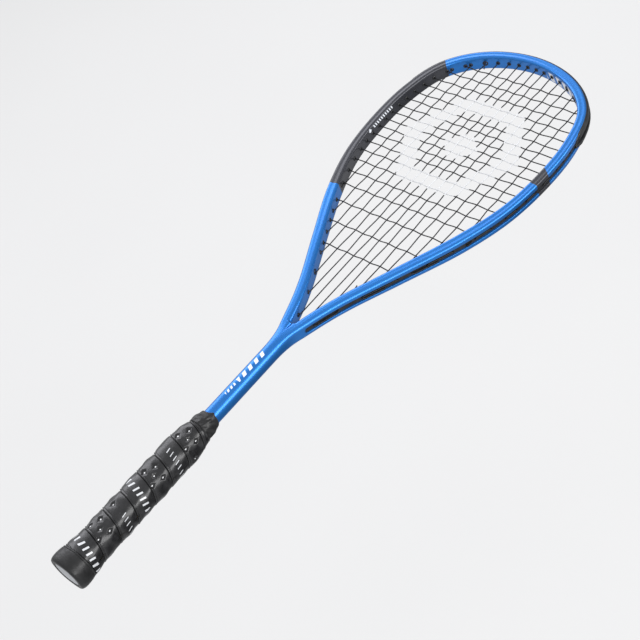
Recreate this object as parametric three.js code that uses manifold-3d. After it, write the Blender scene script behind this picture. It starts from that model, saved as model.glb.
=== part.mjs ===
// A strung squash racket, made as an assembly of the pieces it comes apart into.
// Units are millimetres. +Y runs from the butt to the tip, +X across the head and +Z out of
// the front face. The origin is the centre of the butt's end face, on the string plane.
import * as THREE from "three";
import { mergeVertices } from "three/addons/utils/BufferGeometryUtils.js";
import Module from "manifold-3d";

// ---- driving dimensions ----
const GAP = 0.3; // between pieces that touch on the real racket

// The hoop is one tube, bent round the strings and back to the shaft. These points lie on
// its centre line, for the right half, from the tip down to the shaft.
const HOOP_CENTRE_LINE = [
  [0, 677.45],
  [36, 672],
  [66, 657.3],
  [88.5, 633.6],
  [99.9, 596],
  [102.5, 555],
  [96.9, 501.3],
  [80.2, 452.3],
  [50.1, 392.6],
  [23.9, 342.4],
  [11.6, 312],
  [5.4, 290],
  [3.95, 270],
];
const HEAD_HALF_WIDTH = 4.75; // of the tube's section, in the string plane
const ARM_HALF_WIDTH = 5.5;
const FRAME_HALF_DEPTH = 8;
const FRAME_CORNER = 3;
const FRAME_WALL = 1.35;
const GROOVE_WALL = 1.2; // the tube's wall under the groove
const GROOVE_DEPTH = 2.4; // of the channel round the hoop's outer side
const GROOVE_HALF_WIDTH = 2.9;
const GROOVE_END_Y = 301;

const SHAFT_HALF_WIDTH = 7.9;
const SHAFT_HALF_DEPTH = 8.2;
const SHAFT_WALL = 1.5;
const SHAFT_END_Y = 5; // the open lower end, inside the butt
const CROTCH_Y = 301; // bottom of the V between the arms

const STRIP_BASE = 0.7; // thickness of the grommet strips' base
const STRIP_HALF_WIDTH = 2.6;
const BUMPER_END_Y = 597.2;
const BUMPER_HALF_WIDTH = 7.3;
const BUMPER_PROUD = 1.8; // how far it stands out from the frame
const BARREL_PROUD = 0.7; // how far a grommet stands out of the inner wall
const BARREL = { outer: 1.7, bore: 1.0 };
const TIE_BARREL = { outer: 2.5, bore: 1.9 }; // wide enough for a main and a tied end

const STRING_RADIUS = 0.575;
const STRING_SIDES = 5;
const MAIN_X = [5.2, 15.3, 26.2, 37.7, 49.9, 62.7, 77.0]; // each has a mirrored partner
const CROSS_Y = [
  649, 635.5, 622.5, 610.5, 598.5, 587, 576, 565, 554.5, 543.5, 532.5, 521, 509.5, 496, 481,
  464.5, 444, 420, 394,
];
const WEAVE = 1.5; // how far a cross string passes above or below a main
const LANE = 1.35; // offset of a string in the groove, mains behind and crosses in front
const TIE_OFFSET = 0.75; // of the two strings that share a tie-off grommet
const TIE_MAIN = 4; // the fifth main from the centre shares its top grommet with a tied end
const TIE_MAIN_LOW = 2; // and the third its lower one

const DAMPER_START_Y = 612;
const DAMPER_END_Y = 645;

const TAPER_START_Y = 148;
// Half-width of the finished handle at stations along Y: butt cap, wrap, taper and collar.
const HANDLE_OUTLINE = [
  [0, 17.6],
  [2, 18.5],
  [6, 18.9],
  [10, 18.8],
  [17, 17.8],
  [28, 16.7],
  [50, 16.1],
  [TAPER_START_Y, 16.1],
  [160, 14.5],
  [172, 12.1],
  [184, 9.6],
  [187.5, 8.9],
];
const HANDLE_DEPTH_RATIO = 0.93; // front to back against side to side
const COLLAR_TOP_RATIO = 1.02; // the shaft is a little deeper than it is wide
const HANDLE_ROUNDNESS = 2.4; // exponent of the section: 2 is an ellipse
const SHAFT_ROUNDNESS = 2.2;
const TAPE_THICKNESS = 1.9;
const TAPE_START_Y = 17;
const TAPE_END_Y = 174;
const PALLET_START_Y = 4;
const PALLET_END_Y = 172;
const CAP_SKIRT_END_Y = 27;
const CAP_END_WALL = 3;
const END_PLATE = { halfWidth: 13, halfDepth: 11.6, thickness: 1.4 };
const COLLAR_START_Y = 169;
const COLLAR_END_Y = 187.5;
const COLLAR_THICKNESS = 0.9;
const PLUG_LENGTH = 20;
const STAPLE = { crown: 7, leg: 5, wire: 0.8 };

const wasm = await Module();
wasm.setup();

// ---- solids ----

// A closed mesh geometry as a manifold solid, facing out.
function solidOf(geometry) {
  const bare = geometry.index ? geometry.toNonIndexed() : geometry.clone();
  bare.deleteAttribute("normal");
  bare.deleteAttribute("uv");
  const merged = mergeVertices(bare, 1e-4);
  return new wasm.Manifold(
    new wasm.Mesh({
      numProp: 3,
      vertProperties: merged.attributes.position.array,
      triVerts: new Uint32Array(merged.index.array),
    }),
  );
}

function geometryOf(solid) {
  const mesh = solid.getMesh();
  const geometry = new THREE.BufferGeometry();
  geometry.setAttribute("position", new THREE.BufferAttribute(mesh.vertProperties, 3));
  geometry.setIndex(new THREE.BufferAttribute(mesh.triVerts, 1));
  return geometry;
}

const join = (solids) => solids.reduce((whole, solid) => whole.add(solid));
const cut = (solid, tools) => (tools.length ? solid.subtract(join(tools)) : solid);

// Six times the signed volume of an indexed mesh.
function signedVolume(points, faces) {
  const triple = ([a, b, c]) => points[a].dot(points[b].clone().cross(points[c]));
  return faces.reduce((sum, face) => sum + triple(face), 0);
}

// A solid through a row of rings that all have one outline's number of points. The outline
// is the flat shape that closes both ends.
function loft(rings, outline) {
  const sides = outline.length;
  const faces = [];
  for (let r = 0; r + 1 < rings.length; r++) {
    for (let k = 0; k < sides; k++) {
      const a = r * sides + k;
      const b = r * sides + ((k + 1) % sides);
      faces.push([a, b, b + sides], [a, b + sides, a + sides]);
    }
  }
  const last = (rings.length - 1) * sides;
  const flat = outline.map(([u, v]) => new THREE.Vector2(u, v));
  const clockwise = THREE.ShapeUtils.isClockWise(flat);
  for (const triangle of THREE.ShapeUtils.triangulateShape(flat, [])) {
    const face = clockwise ? triangle.toReversed() : triangle;
    faces.push(face.toReversed());
    faces.push(face.map((i) => i + last));
  }
  const points = rings.flat();
  if (signedVolume(points, faces) < 0) faces.forEach((face) => face.reverse());
  const geometry = new THREE.BufferGeometry().setFromPoints(points);
  geometry.setIndex(faces.flat());
  return solidOf(geometry);
}

// ---- the hoop's path ----

const rightHalf = HOOP_CENTRE_LINE.map(([x, y]) => new THREE.Vector3(x, y, 0));
const leftHalf = HOOP_CENTRE_LINE.slice(1).map(([x, y]) => new THREE.Vector3(-x, y, 0));
const hoopCurve = new THREE.CatmullRomCurve3(
  [...leftHalf.toReversed(), ...rightHalf],
  false,
  "centripetal",
);
hoopCurve.arcLengthDivisions = 2000;
const HOOP_LENGTH = hoopCurve.getLength();

// The tube narrows from its full width in the arms to the head, and to half of the shaft.
function hoopHalfWidth(y) {
  const arm = 1 - THREE.MathUtils.smoothstep(y, 430, 520);
  const leg = 1 - THREE.MathUtils.smoothstep(y, 272, 312);
  const wide = THREE.MathUtils.lerp(HEAD_HALF_WIDTH, ARM_HALF_WIDTH, arm);
  return THREE.MathUtils.lerp(wide, SHAFT_HALF_WIDTH / 2, leg);
}

// A place on the hoop: u is its share of the path from the left arm's foot to the right
// arm's, out points away from the strings, and half is the tube's half-width there.
function hoopAt(u) {
  const centre = hoopCurve.getPointAt(u);
  const tangent = hoopCurve.getTangentAt(u);
  const out = new THREE.Vector3(-tangent.y, tangent.x, 0).normalize();
  return { u, centre, out, half: hoopHalfWidth(centre.y) };
}

// The point that stands s out from the centre line and z in front of the string plane.
function offHoop(place, s, z) {
  const point = place.centre.clone().addScaledVector(place.out, s);
  point.z = z;
  return point;
}

// The place where a measure of the hoop passes zero between two shares of the path.
function findOnHoop(measure, low, high) {
  let [from, to] = [low, high];
  const rising = measure(hoopAt(from)) < 0;
  for (let step = 0; step < 40; step++) {
    const middle = (from + to) / 2;
    if (measure(hoopAt(middle)) < 0 === rising) from = middle;
    else to = middle;
  }
  return hoopAt((from + to) / 2);
}

const TIP = 0.5;
const WIDEST_LEFT = findOnHoop((p) => p.out.y, 0.1, 0.45).u;
const placeAtHeight = (y, side) =>
  side < 0
    ? findOnHoop((p) => p.centre.y - y, 0.001, TIP)
    : findOnHoop((p) => p.centre.y - y, TIP, 0.999);

const RING_TURN = THREE.MathUtils.degToRad(5.5); // most that the hoop turns between rings
const RING_SPACING = 26; // and the most length between them
const FINE_STEPS = 2000;

// Shares of the path where every swept piece has a ring, closer together where it bends.
function ringShares() {
  const left = [];
  let last = TIP;
  for (let i = 1; i < FINE_STEPS; i++) {
    const u = TIP * (1 - i / FINE_STEPS);
    const turned = hoopCurve.getTangentAt(u).angleTo(hoopCurve.getTangentAt(last));
    if (turned < RING_TURN && (last - u) * HOOP_LENGTH < RING_SPACING) continue;
    left.push(u);
    last = u;
  }
  return [...left.toReversed(), TIP, ...left.map((u) => 1 - u)];
}

const RING_SHARES = ringShares();

// A solid swept along the hoop between two shares of its path. The section gives [s, z]
// points for a place.
function sweep(section, from, to) {
  const nearest = 0.5 / HOOP_LENGTH;
  const between = RING_SHARES.filter((u) => u > from + nearest && u < to - nearest);
  const rings = [from, ...between, to].map((u) => {
    const place = hoopAt(u);
    return section(place).map(([s, z]) => offHoop(place, s, z));
  });
  return loft(rings, section(hoopAt(from)));
}

// A rectangle with rounded corners, each of them steps + 1 points on an arc.
function roundedRectangle(halfWidth, halfDepth, radius, steps) {
  const points = [];
  for (let corner = 0; corner < 4; corner++) {
    const x = (corner === 0 || corner === 3 ? 1 : -1) * (halfWidth - radius);
    const z = (corner < 2 ? 1 : -1) * (halfDepth - radius);
    for (let i = 0; i <= steps; i++) {
      const angle = ((corner + i / steps) * Math.PI) / 2;
      points.push([x + radius * Math.cos(angle), z + radius * Math.sin(angle)]);
    }
  }
  return points;
}

const rectangle = (low, high, halfDepth) => [
  [low, -halfDepth],
  [high, -halfDepth],
  [high, halfDepth],
  [low, halfDepth],
];

// A rod of the given radius along the outward direction of a place, from s to s.
function rodAcross(place, radius, from, to, sides = 6) {
  const geometry = new THREE.CylinderGeometry(radius, radius, to - from, sides);
  geometry.translate(0, (from + to) / 2, 0);
  geometry.rotateZ(Math.atan2(-place.out.x, place.out.y));
  geometry.translate(place.centre.x, place.centre.y, 0);
  return solidOf(geometry);
}

// ---- the string holes ----

const KINK = BARREL_PROUD + 0.4; // a string bends just clear of the grommet's mouth
const mouth = (place) => offHoop(place, -place.half - KINK, 0);
const laneHeight = (place) => place.half - GROOVE_DEPTH + 2 * GAP + STRIP_BASE + STRING_RADIUS;

// The hole where a main at x meets the hoop, at its top or its bottom end.
function mainHole(x, top) {
  const side = Math.sign(x);
  const beyond = (p) => Math.abs(mouth(p).x) - Math.abs(x);
  const turn = side < 0 ? WIDEST_LEFT : 1 - WIDEST_LEFT;
  const foot = side < 0 ? 0.01 : 0.99;
  return findOnHoop(beyond, turn, top ? TIP : foot);
}

// The hole where a cross at y meets the hoop, on the left or the right.
function crossHole(y, side) {
  const foot = side < 0 ? 0.01 : 0.99;
  return findOnHoop((p) => mouth(p).y - y, foot, TIP);
}

const mains = [...MAIN_X.toReversed().map((x) => -x), ...MAIN_X].map((x) => ({
  x,
  top: mainHole(x, true),
  bottom: mainHole(x, false),
}));
const crosses = CROSS_Y.map((y) => ({ y, left: crossHole(y, -1), right: crossHole(y, 1) }));

const isTieTop = (main) => Math.abs(main.x) === MAIN_X[TIE_MAIN];
const isTieBottom = (main) => Math.abs(main.x) === MAIN_X[TIE_MAIN_LOW];
const holes = [
  ...mains.map((m) => ({ place: m.top, barrel: isTieTop(m) ? TIE_BARREL : BARREL })),
  ...mains.map((m) => ({ place: m.bottom, barrel: isTieBottom(m) ? TIE_BARREL : BARREL })),
  ...crosses.flatMap((c) => [c.left, c.right].map((place) => ({ place, barrel: BARREL }))),
];

// ---- frame ----

const hoopSection = (p) => roundedRectangle(p.half, FRAME_HALF_DEPTH, FRAME_CORNER, 2);
const cavityLow = (p) => FRAME_WALL - p.half;
const cavityHigh = (p) => p.half - GROOVE_DEPTH - GROOVE_WALL;
const CAVITY_HALF_DEPTH = FRAME_HALF_DEPTH - FRAME_WALL;
const hoopCavity = (p) => rectangle(cavityLow(p), cavityHigh(p), CAVITY_HALF_DEPTH);

// An oval whose corners are fuller than an ellipse's as the exponent rises above 2.
function oval(halfWidth, halfDepth, exponent, sides = 16) {
  const points = [];
  for (let k = 0; k < sides; k++) {
    const angle = (2 * Math.PI * k) / sides;
    const swell = (value) => Math.sign(value) * Math.abs(value) ** (2 / exponent);
    points.push([halfWidth * swell(Math.cos(angle)), halfDepth * swell(Math.sin(angle))]);
  }
  return points;
}

// A solid through ovals that stand square to Y. A station is [y, half-width, half-depth].
function ovalLoft(stations, exponent, sides) {
  const ringAt = ([y, halfWidth, halfDepth]) =>
    oval(halfWidth, halfDepth, exponent, sides).map(([x, z]) => new THREE.Vector3(x, y, z));
  const [, halfWidth, halfDepth] = stations[0];
  return loft(stations.map(ringAt), oval(halfWidth, halfDepth, exponent, sides));
}

// The shaft widens into the arms. Each station is [y, half-width].
const SHAFT_STATIONS = [
  [SHAFT_END_Y, SHAFT_HALF_WIDTH],
  [262, SHAFT_HALF_WIDTH],
  [274, 8.3],
  [283, 9.2],
  [291, 10.8],
  [CROTCH_Y, 13],
];
const SHAFT_CAVITY_TOP = 4; // stations of the shaft that the cavity follows
const ARM_FOOT_Y = 284;
const HOLE_CLEARANCE = 0.35; // of a grommet in its hole

function makeFrame() {
  const foot = placeAtHeight(ARM_FOOT_Y, -1).u;
  const hoop = sweep(hoopSection, foot, 1 - foot);
  const shaft = ovalLoft(
    SHAFT_STATIONS.map(([y, w]) => [y, w, SHAFT_HALF_DEPTH]),
    SHAFT_ROUNDNESS,
  );
  const hollowFoot = placeAtHeight(ARM_FOOT_Y + 2, -1).u;
  const hoopHollow = sweep(hoopCavity, hollowFoot, 1 - hollowFoot);
  const hollowStations = SHAFT_STATIONS.slice(0, SHAFT_CAVITY_TOP + 1).map(([y, w]) => [
    y === SHAFT_END_Y ? y - 1 : y,
    w - SHAFT_WALL,
    SHAFT_HALF_DEPTH - SHAFT_WALL,
  ]);
  const shaftHollow = ovalLoft(hollowStations, SHAFT_ROUNDNESS, 12);
  const grooveFoot = placeAtHeight(GROOVE_END_Y, -1).u;
  const groove = sweep(
    (p) => rectangle(p.half - GROOVE_DEPTH, p.half + 2, GROOVE_HALF_WIDTH),
    grooveFoot,
    1 - grooveFoot,
  );
  const drilled = holes.map(({ place, barrel }) =>
    rodAcross(place, barrel.outer + HOLE_CLEARANCE, -place.half - 1, place.half - GROOVE_DEPTH + 1),
  );
  return cut(hoop.add(shaft), [groove, hoopHollow, shaftHollow, ...drilled]);
}

// Foam bonded to the front wall inside one shoulder of the hoop, clear of the grommets.
function makeDamper(side) {
  const ends = [DAMPER_START_Y, DAMPER_END_Y].map((y) => placeAtHeight(y, side).u);
  const back = TIE_BARREL.outer - GAP;
  const front = CAVITY_HALF_DEPTH - GAP;
  const section = (p) => [
    [cavityLow(p) + GAP, back],
    [cavityHigh(p) - GAP, back],
    [cavityHigh(p) - GAP, front],
    [cavityLow(p) + GAP, front],
  ];
  return sweep(section, Math.min(...ends), Math.max(...ends));
}

function makeShaftPlug() {
  const across = SHAFT_HALF_WIDTH - SHAFT_WALL - GAP;
  const deep = SHAFT_HALF_DEPTH - SHAFT_WALL - GAP;
  const start = SHAFT_END_Y + 0.5;
  const stations = [start, start + PLUG_LENGTH].map((y) => [y, across, deep]);
  return ovalLoft(stations, SHAFT_ROUNDNESS, 12);
}

// ---- grommet strips and bumper ----

const baseLow = (p) => p.half - GROOVE_DEPTH + GAP;
const baseHigh = (p) => baseLow(p) + STRIP_BASE;
const stripSection = (p) => rectangle(baseLow(p), baseHigh(p), STRIP_HALF_WIDTH);

const BUMPER_CHANNEL = STRIP_HALF_WIDTH - 0.4; // half-width between the bumper's sides
const BUMPER_SHOULDER = STRIP_HALF_WIDTH + 2; // half-width where its rounded edge starts
const BUMPER_EDGE = 0.4; // thickness of its edge over the frame

// The bumper is a strip whose sides rise out of the groove and fold over the frame. The
// strings lie in the channel between them.
function bumperSection(p) {
  const rim = p.half + BUMPER_PROUD;
  const under = p.half + GAP;
  const half = [
    [baseLow(p), STRIP_HALF_WIDTH],
    [under, STRIP_HALF_WIDTH],
    [under, BUMPER_HALF_WIDTH - 0.5],
    [under + BUMPER_EDGE, BUMPER_HALF_WIDTH],
    [rim - 0.3, BUMPER_SHOULDER],
    [rim, STRIP_HALF_WIDTH],
    [rim, BUMPER_CHANNEL],
    [baseHigh(p), BUMPER_CHANNEL],
  ];
  return [...half, ...half.toReversed().map(([s, z]) => [s, -z])];
}

const TUBE_BITE = 0.2; // how far a tube runs into the strip's base, to be one solid with it

// A strip between two shares of the path, with a tube for each hole that it covers.
function makeStrip(section, from, to) {
  const covered = holes.filter(({ place }) => place.u > from && place.u < to);
  const tubes = covered.map(({ place, barrel }) =>
    rodAcross(place, barrel.outer, -place.half - BARREL_PROUD, baseLow(place) + TUBE_BITE),
  );
  const bores = covered.map(({ place, barrel }) =>
    rodAcross(place, barrel.bore, -place.half - 3, baseHigh(place) + 0.5),
  );
  return cut(join([sweep(section, from, to), ...tubes]), bores);
}

const bumperFrom = placeAtHeight(BUMPER_END_Y, -1).u;
const bumperTo = placeAtHeight(BUMPER_END_Y, 1).u;
const endGap = GAP / HOOP_LENGTH;
const stripFrom = placeAtHeight(GROOVE_END_Y, -1).u + endGap;
const stripTo = placeAtHeight(GROOVE_END_Y, 1).u - endGap;

// ---- strings ----

// A rod of round section through a row of points, mitred where it bends.
function rodThrough(points, radius) {
  const rings = [];
  let side = new THREE.Vector3(0, 0, 1);
  const last = points.length - 1;
  points.forEach((point, i) => {
    const before = point.clone().sub(points[Math.max(i - 1, 0)]).normalize();
    const after = points[Math.min(i + 1, last)].clone().sub(point).normalize();
    const along = before.add(after).normalize();
    side = side.clone().addScaledVector(along, -side.dot(along)).normalize();
    const other = along.clone().cross(side);
    const ring = oval(radius, radius, 2, STRING_SIDES);
    rings.push(
      ring.map(([u, v]) => point.clone().addScaledVector(side, u).addScaledVector(other, v)),
    );
  });
  return loft(rings, oval(radius, radius, 2, STRING_SIDES));
}

function knotAt(point, radius) {
  const geometry = new THREE.SphereGeometry(radius, 8, 6);
  geometry.translate(point.x, point.y, point.z);
  return solidOf(geometry);
}

// Where a string at height z comes out of a hole on the outer side, and where it bends on
// the inner side.
const outerEnd = (place, z = 0) => offHoop(place, laneHeight(place), z);
const innerEnd = (place, z = 0) => offHoop(place, -place.half - KINK, z);

const LOOP_STEP = 9; // longest stretch of a string in the groove between two points
const LOOP_SHIFT = 2.2; // length over which it moves sideways into its lane

// The points of a string in the groove between two holes, without its ends.
function alongGroove(from, to, lane) {
  const length = Math.abs(to.u - from.u) * HOOP_LENGTH;
  const shift = (LOOP_SHIFT / HOOP_LENGTH) * Math.sign(to.u - from.u);
  const count = Math.max(1, Math.ceil((length - 2 * LOOP_SHIFT) / LOOP_STEP));
  const points = [];
  for (let i = 0; i <= count; i++) {
    const u = THREE.MathUtils.lerp(from.u + shift, to.u - shift, i / count);
    const place = hoopAt(u);
    points.push(offHoop(place, laneHeight(place), lane));
  }
  return points;
}

const TIE_SETTLE = 6; // length over which a main leaves its tie-off offset

// One main from its lower outer end to its upper one.
function mainStretch(main) {
  const low = isTieBottom(main) ? -TIE_OFFSET : 0;
  const high = isTieTop(main) ? -TIE_OFFSET : 0;
  const points = [outerEnd(main.bottom, low), innerEnd(main.bottom, low)];
  if (low) points.push(new THREE.Vector3(main.x, points[1].y + TIE_SETTLE, 0));
  const top = innerEnd(main.top, high);
  if (high) points.push(new THREE.Vector3(main.x, top.y - TIE_SETTLE, 0));
  return [...points, top, outerEnd(main.top, high)];
}

const KNOT_RUN = 5; // from the last hole to the stopper knot in the groove
const GROOVE_KNOT = 0.95;
const KNOT_LIFT = GROOVE_KNOT - STRING_RADIUS; // so that it clears the strip as the string does

// The main string's end beyond a lower hole: a short run in the lane, to a stopper knot.
function mainEnd(main, direction) {
  const place = hoopAt(main.bottom.u + (direction * KNOT_RUN) / HOOP_LENGTH);
  const bend = hoopAt(main.bottom.u + (direction * LOOP_SHIFT) / HOOP_LENGTH);
  const knot = offHoop(place, laneHeight(place) + KNOT_LIFT, -LANE);
  return [knot, offHoop(bend, laneHeight(bend), -LANE)];
}

// All the mains are one string, up one and down the next.
function makeMainString() {
  const first = mainEnd(mains[0], -1);
  const lastMain = mains.at(-1);
  const end = mainEnd(lastMain, 1).toReversed();
  const route = [...first];
  mains.forEach((main, i) => {
    const up = i % 2 === 0;
    const stretch = mainStretch(main);
    route.push(...(up ? stretch : stretch.toReversed()));
    const next = mains[i + 1];
    if (!next) return;
    if (up) route.push(...alongGroove(main.top, next.top, -LANE));
    else route.push(...alongGroove(main.bottom, next.bottom, -LANE));
  });
  route.push(...end);
  const knots = [first[0], end.at(-1)].map((point) => knotAt(point, GROOVE_KNOT));
  return join([rodThrough(route, STRING_RADIUS), ...knots]);
}

// One cross from left to right, over one main and under the next.
function crossStretch(cross, row) {
  const left = innerEnd(cross.left);
  const right = innerEnd(cross.right);
  const points = [outerEnd(cross.left), left];
  mains.forEach((main, column) => {
    if (main.x < left.x + 1 || main.x > right.x - 1) return;
    const height = (row + column) % 2 ? WEAVE : -WEAVE;
    points.push(new THREE.Vector3(main.x, cross.y, height));
  });
  return [...points, right, outerEnd(cross.right)];
}

const TIE_KNOT = 1.35;
const TIE_KNOT_LIFT = 1.2; // of the knot in front of the string that shares its hole
const TIE_KNOT_STAND = 1.8; // of the knot off the grommet's mouth

// A cross string's end: through a shared grommet to a knot on the inner side, with a tail.
function tiedEnd(place, tail) {
  const through = [outerEnd(place, TIE_OFFSET), innerEnd(place, TIE_OFFSET)];
  const lift = TIE_OFFSET + TIE_KNOT_LIFT;
  const knot = offHoop(place, -place.half - KINK - TIE_KNOT_STAND, lift);
  return { points: [...through, knot, knot.clone().add(tail)], knot };
}

const START_TAIL = new THREE.Vector3(5, -7, 0.6);
const END_TAIL = new THREE.Vector3(-1.8, 2.6, -0.4);

// All the crosses are one string, down from the tip, side to side.
function makeCrossString() {
  const startMain = mains.find((main) => isTieTop(main) && main.x < 0);
  const endMain = mains.find((main) => isTieBottom(main) && main.x > 0);
  const start = tiedEnd(startMain.top, START_TAIL);
  const finish = tiedEnd(endMain.bottom, END_TAIL);
  const route = start.points.toReversed();
  route.push(...alongGroove(startMain.top, crosses[0].left, LANE));
  crosses.forEach((cross, row) => {
    const rightward = row % 2 === 0;
    const stretch = crossStretch(cross, row);
    route.push(...(rightward ? stretch : stretch.toReversed()));
    const next = crosses[row + 1];
    if (!next) return;
    const side = rightward ? "right" : "left";
    route.push(...alongGroove(cross[side], next[side], LANE));
  });
  route.push(...alongGroove(crosses.at(-1).right, endMain.bottom, LANE), ...finish.points);
  const knots = [start.knot, finish.knot].map((point) => knotAt(point, TIE_KNOT));
  return join([rodThrough(route, STRING_RADIUS), ...knots]);
}

// ---- handle ----

// The finished handle's half-width and half-depth at a height.
function handleAt(y) {
  const next = HANDLE_OUTLINE.findIndex(([height]) => height >= y);
  const [y1, w1] = HANDLE_OUTLINE[Math.max(next, 1)];
  const [y0, w0] = HANDLE_OUTLINE[Math.max(next, 1) - 1];
  const width = THREE.MathUtils.mapLinear(y, y0, y1, w0, w1);
  const blend = THREE.MathUtils.smoothstep(y, 150, COLLAR_END_Y);
  const ratio = THREE.MathUtils.lerp(HANDLE_DEPTH_RATIO, COLLAR_TOP_RATIO, blend);
  return [width, width * ratio];
}

// Stations of the handle's outline between two heights, at a depth under its surface.
function handleStations(from, to, under) {
  const between = HANDLE_OUTLINE.map(([y]) => y).filter((y) => y > from && y < to);
  return [from, ...between, to].map((y) => {
    const [width, depth] = handleAt(y);
    return [y, width - under, depth - under];
  });
}

const PALLET_UNDER = TAPE_THICKNESS + GAP;
const [PALLET_HALF_WIDTH, PALLET_HALF_DEPTH] = handleAt(TAPER_START_Y).map(
  (half) => half - PALLET_UNDER,
);

// The core of the handle: straight from the butt, then tapered.
const palletBody = () =>
  ovalLoft(
    [
      [PALLET_START_Y, PALLET_HALF_WIDTH, PALLET_HALF_DEPTH],
      ...handleStations(TAPER_START_Y, PALLET_END_Y, PALLET_UNDER),
    ],
    HANDLE_ROUNDNESS,
  );

// A box between two corners, given in any order.
function block(a, b) {
  const size = a.map((value, i) => Math.abs(b[i] - value));
  const middle = a.map((value, i) => (b[i] + value) / 2);
  const geometry = new THREE.BoxGeometry(...size);
  geometry.translate(...middle);
  return solidOf(geometry);
}

const staples = [
  { name: "front_butt_cap_staple", side: 1, y: 22, lift: 0 },
  { name: "rear_butt_cap_staple", side: -1, y: 22, lift: 0 },
  { name: "grip_start_staple", side: -1, y: 36, lift: 0.9 },
];

// A staple in the front or rear of the handle: its crown lies along Y and its legs point
// in. Grown by a clearance, it is the pocket that the staple sits in.
function makeStaple({ side, y, lift }, grow = 0) {
  const top = handleAt(y)[1] - PALLET_UNDER + lift;
  const half = STAPLE.wire / 2 + grow;
  const crown = STAPLE.crown / 2;
  const outer = side * (top + grow);
  const under = side * (top - STAPLE.wire - grow);
  const tip = side * (top - STAPLE.leg - grow);
  const bar = block([-half, y - crown - half, under], [half, y + crown + half, outer]);
  const leg = (at) => block([-half, at - half, tip], [half, at + half, outer]);
  return join([bar, leg(y + crown), leg(y - crown)]);
}

const staplePockets = () => staples.map((staple) => makeStaple(staple, GAP));

// Ovals of the given size from one height to another.
const straightLoft = (from, to, halfWidth, halfDepth, exponent) =>
  ovalLoft(
    [from, to].map((y) => [y, halfWidth, halfDepth]),
    exponent,
  );

const shaftPassage = (from, to) =>
  straightLoft(from, to, SHAFT_HALF_WIDTH + GAP, SHAFT_HALF_DEPTH + GAP, SHAFT_ROUNDNESS);

// One half of the core: a block in front of the split or behind it is cut away.
function makePallet(side) {
  const far = 40;
  const other = block([-far, -far, side * GAP * 0.5], [far, PALLET_END_Y + far, -side * far]);
  const passage = shaftPassage(PALLET_START_Y - 1, PALLET_END_Y + 1);
  return cut(palletBody(), [passage, other, ...staplePockets()]);
}

function makeButtCap() {
  const body = handleStations(0, TAPE_START_Y, 0);
  const skirt = handleStations(TAPE_START_Y, CAP_SKIRT_END_Y, PALLET_UNDER);
  const outside = ovalLoft([...body, ...skirt], HANDLE_ROUNDNESS);
  const hollow = straightLoft(
    CAP_END_WALL,
    CAP_SKIRT_END_Y + 1,
    PALLET_HALF_WIDTH + GAP,
    PALLET_HALF_DEPTH + GAP,
    HANDLE_ROUNDNESS,
  );
  const recess = straightLoft(
    -1,
    END_PLATE.thickness + GAP,
    END_PLATE.halfWidth + GAP,
    END_PLATE.halfDepth + GAP,
    HANDLE_ROUNDNESS,
  );
  return cut(outside, [hollow, recess, ...staplePockets()]);
}

function makeEndPlate() {
  const { halfWidth, halfDepth, thickness } = END_PLATE;
  return straightLoft(0, thickness, halfWidth, halfDepth, HANDLE_ROUNDNESS);
}

// The wrap as one sleeve. It starts over the cap's skirt and ends under the collar.
function makeGripTape() {
  const start = TAPE_START_Y + GAP;
  const underCollar = COLLAR_START_Y - GAP;
  const outside = ovalLoft(
    [
      ...handleStations(start, underCollar, 0),
      ...handleStations(underCollar, TAPE_END_Y, COLLAR_THICKNESS + GAP),
    ],
    HANDLE_ROUNDNESS,
  );
  const pastSkirt = CAP_SKIRT_END_Y + GAP;
  const inside = ovalLoft(
    [
      ...handleStations(start - 1, pastSkirt, TAPE_THICKNESS),
      [pastSkirt, PALLET_HALF_WIDTH + GAP, PALLET_HALF_DEPTH + GAP],
      ...handleStations(TAPER_START_Y, TAPE_END_Y + 1, TAPE_THICKNESS),
    ],
    HANDLE_ROUNDNESS,
  );
  return cut(outside, [inside, ...staplePockets()]);
}

function makeCollar() {
  const pastTape = TAPE_END_Y + GAP;
  const overTape = handleStations(COLLAR_START_Y - 1, pastTape, COLLAR_THICKNESS);
  const passage = shaftPassage(pastTape - 1, COLLAR_END_Y + 1);
  const outside = ovalLoft(handleStations(COLLAR_START_Y, COLLAR_END_Y, 0), HANDLE_ROUNDNESS);
  return cut(outside, [ovalLoft(overTape, HANDLE_ROUNDNESS), passage]);
}

// ---- the racket ----

const finish = (color, roughness, metalness = 0) => ({ color, roughness, metalness });
const BLUE_PAINT = finish(0x2a6fd8, 0.35, 0.5);
const BLACK_NYLON = finish(0x15161a, 0.5);
const STRING_BLACK = finish(0x1a1a1c, 0.4);
const FOAM = finish(0xd8d4c8, 0.95);
const PALLET_FOAM = finish(0xb8a888, 0.9);
const CAP_RUBBER = finish(0x1b1b1d, 0.6);
const TAPE_BLACK = finish(0x222224, 0.55);
const PLATE_GREY = finish(0xb9bcc0, 0.4);
const STEEL = finish(0xb0b4b8, 0.3, 1);

const racket = new THREE.Group();

function addPiece(name, solid, look) {
  const mesh = new THREE.Mesh(geometryOf(solid), new THREE.MeshStandardMaterial(look));
  mesh.name = name;
  racket.add(mesh);
}

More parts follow.
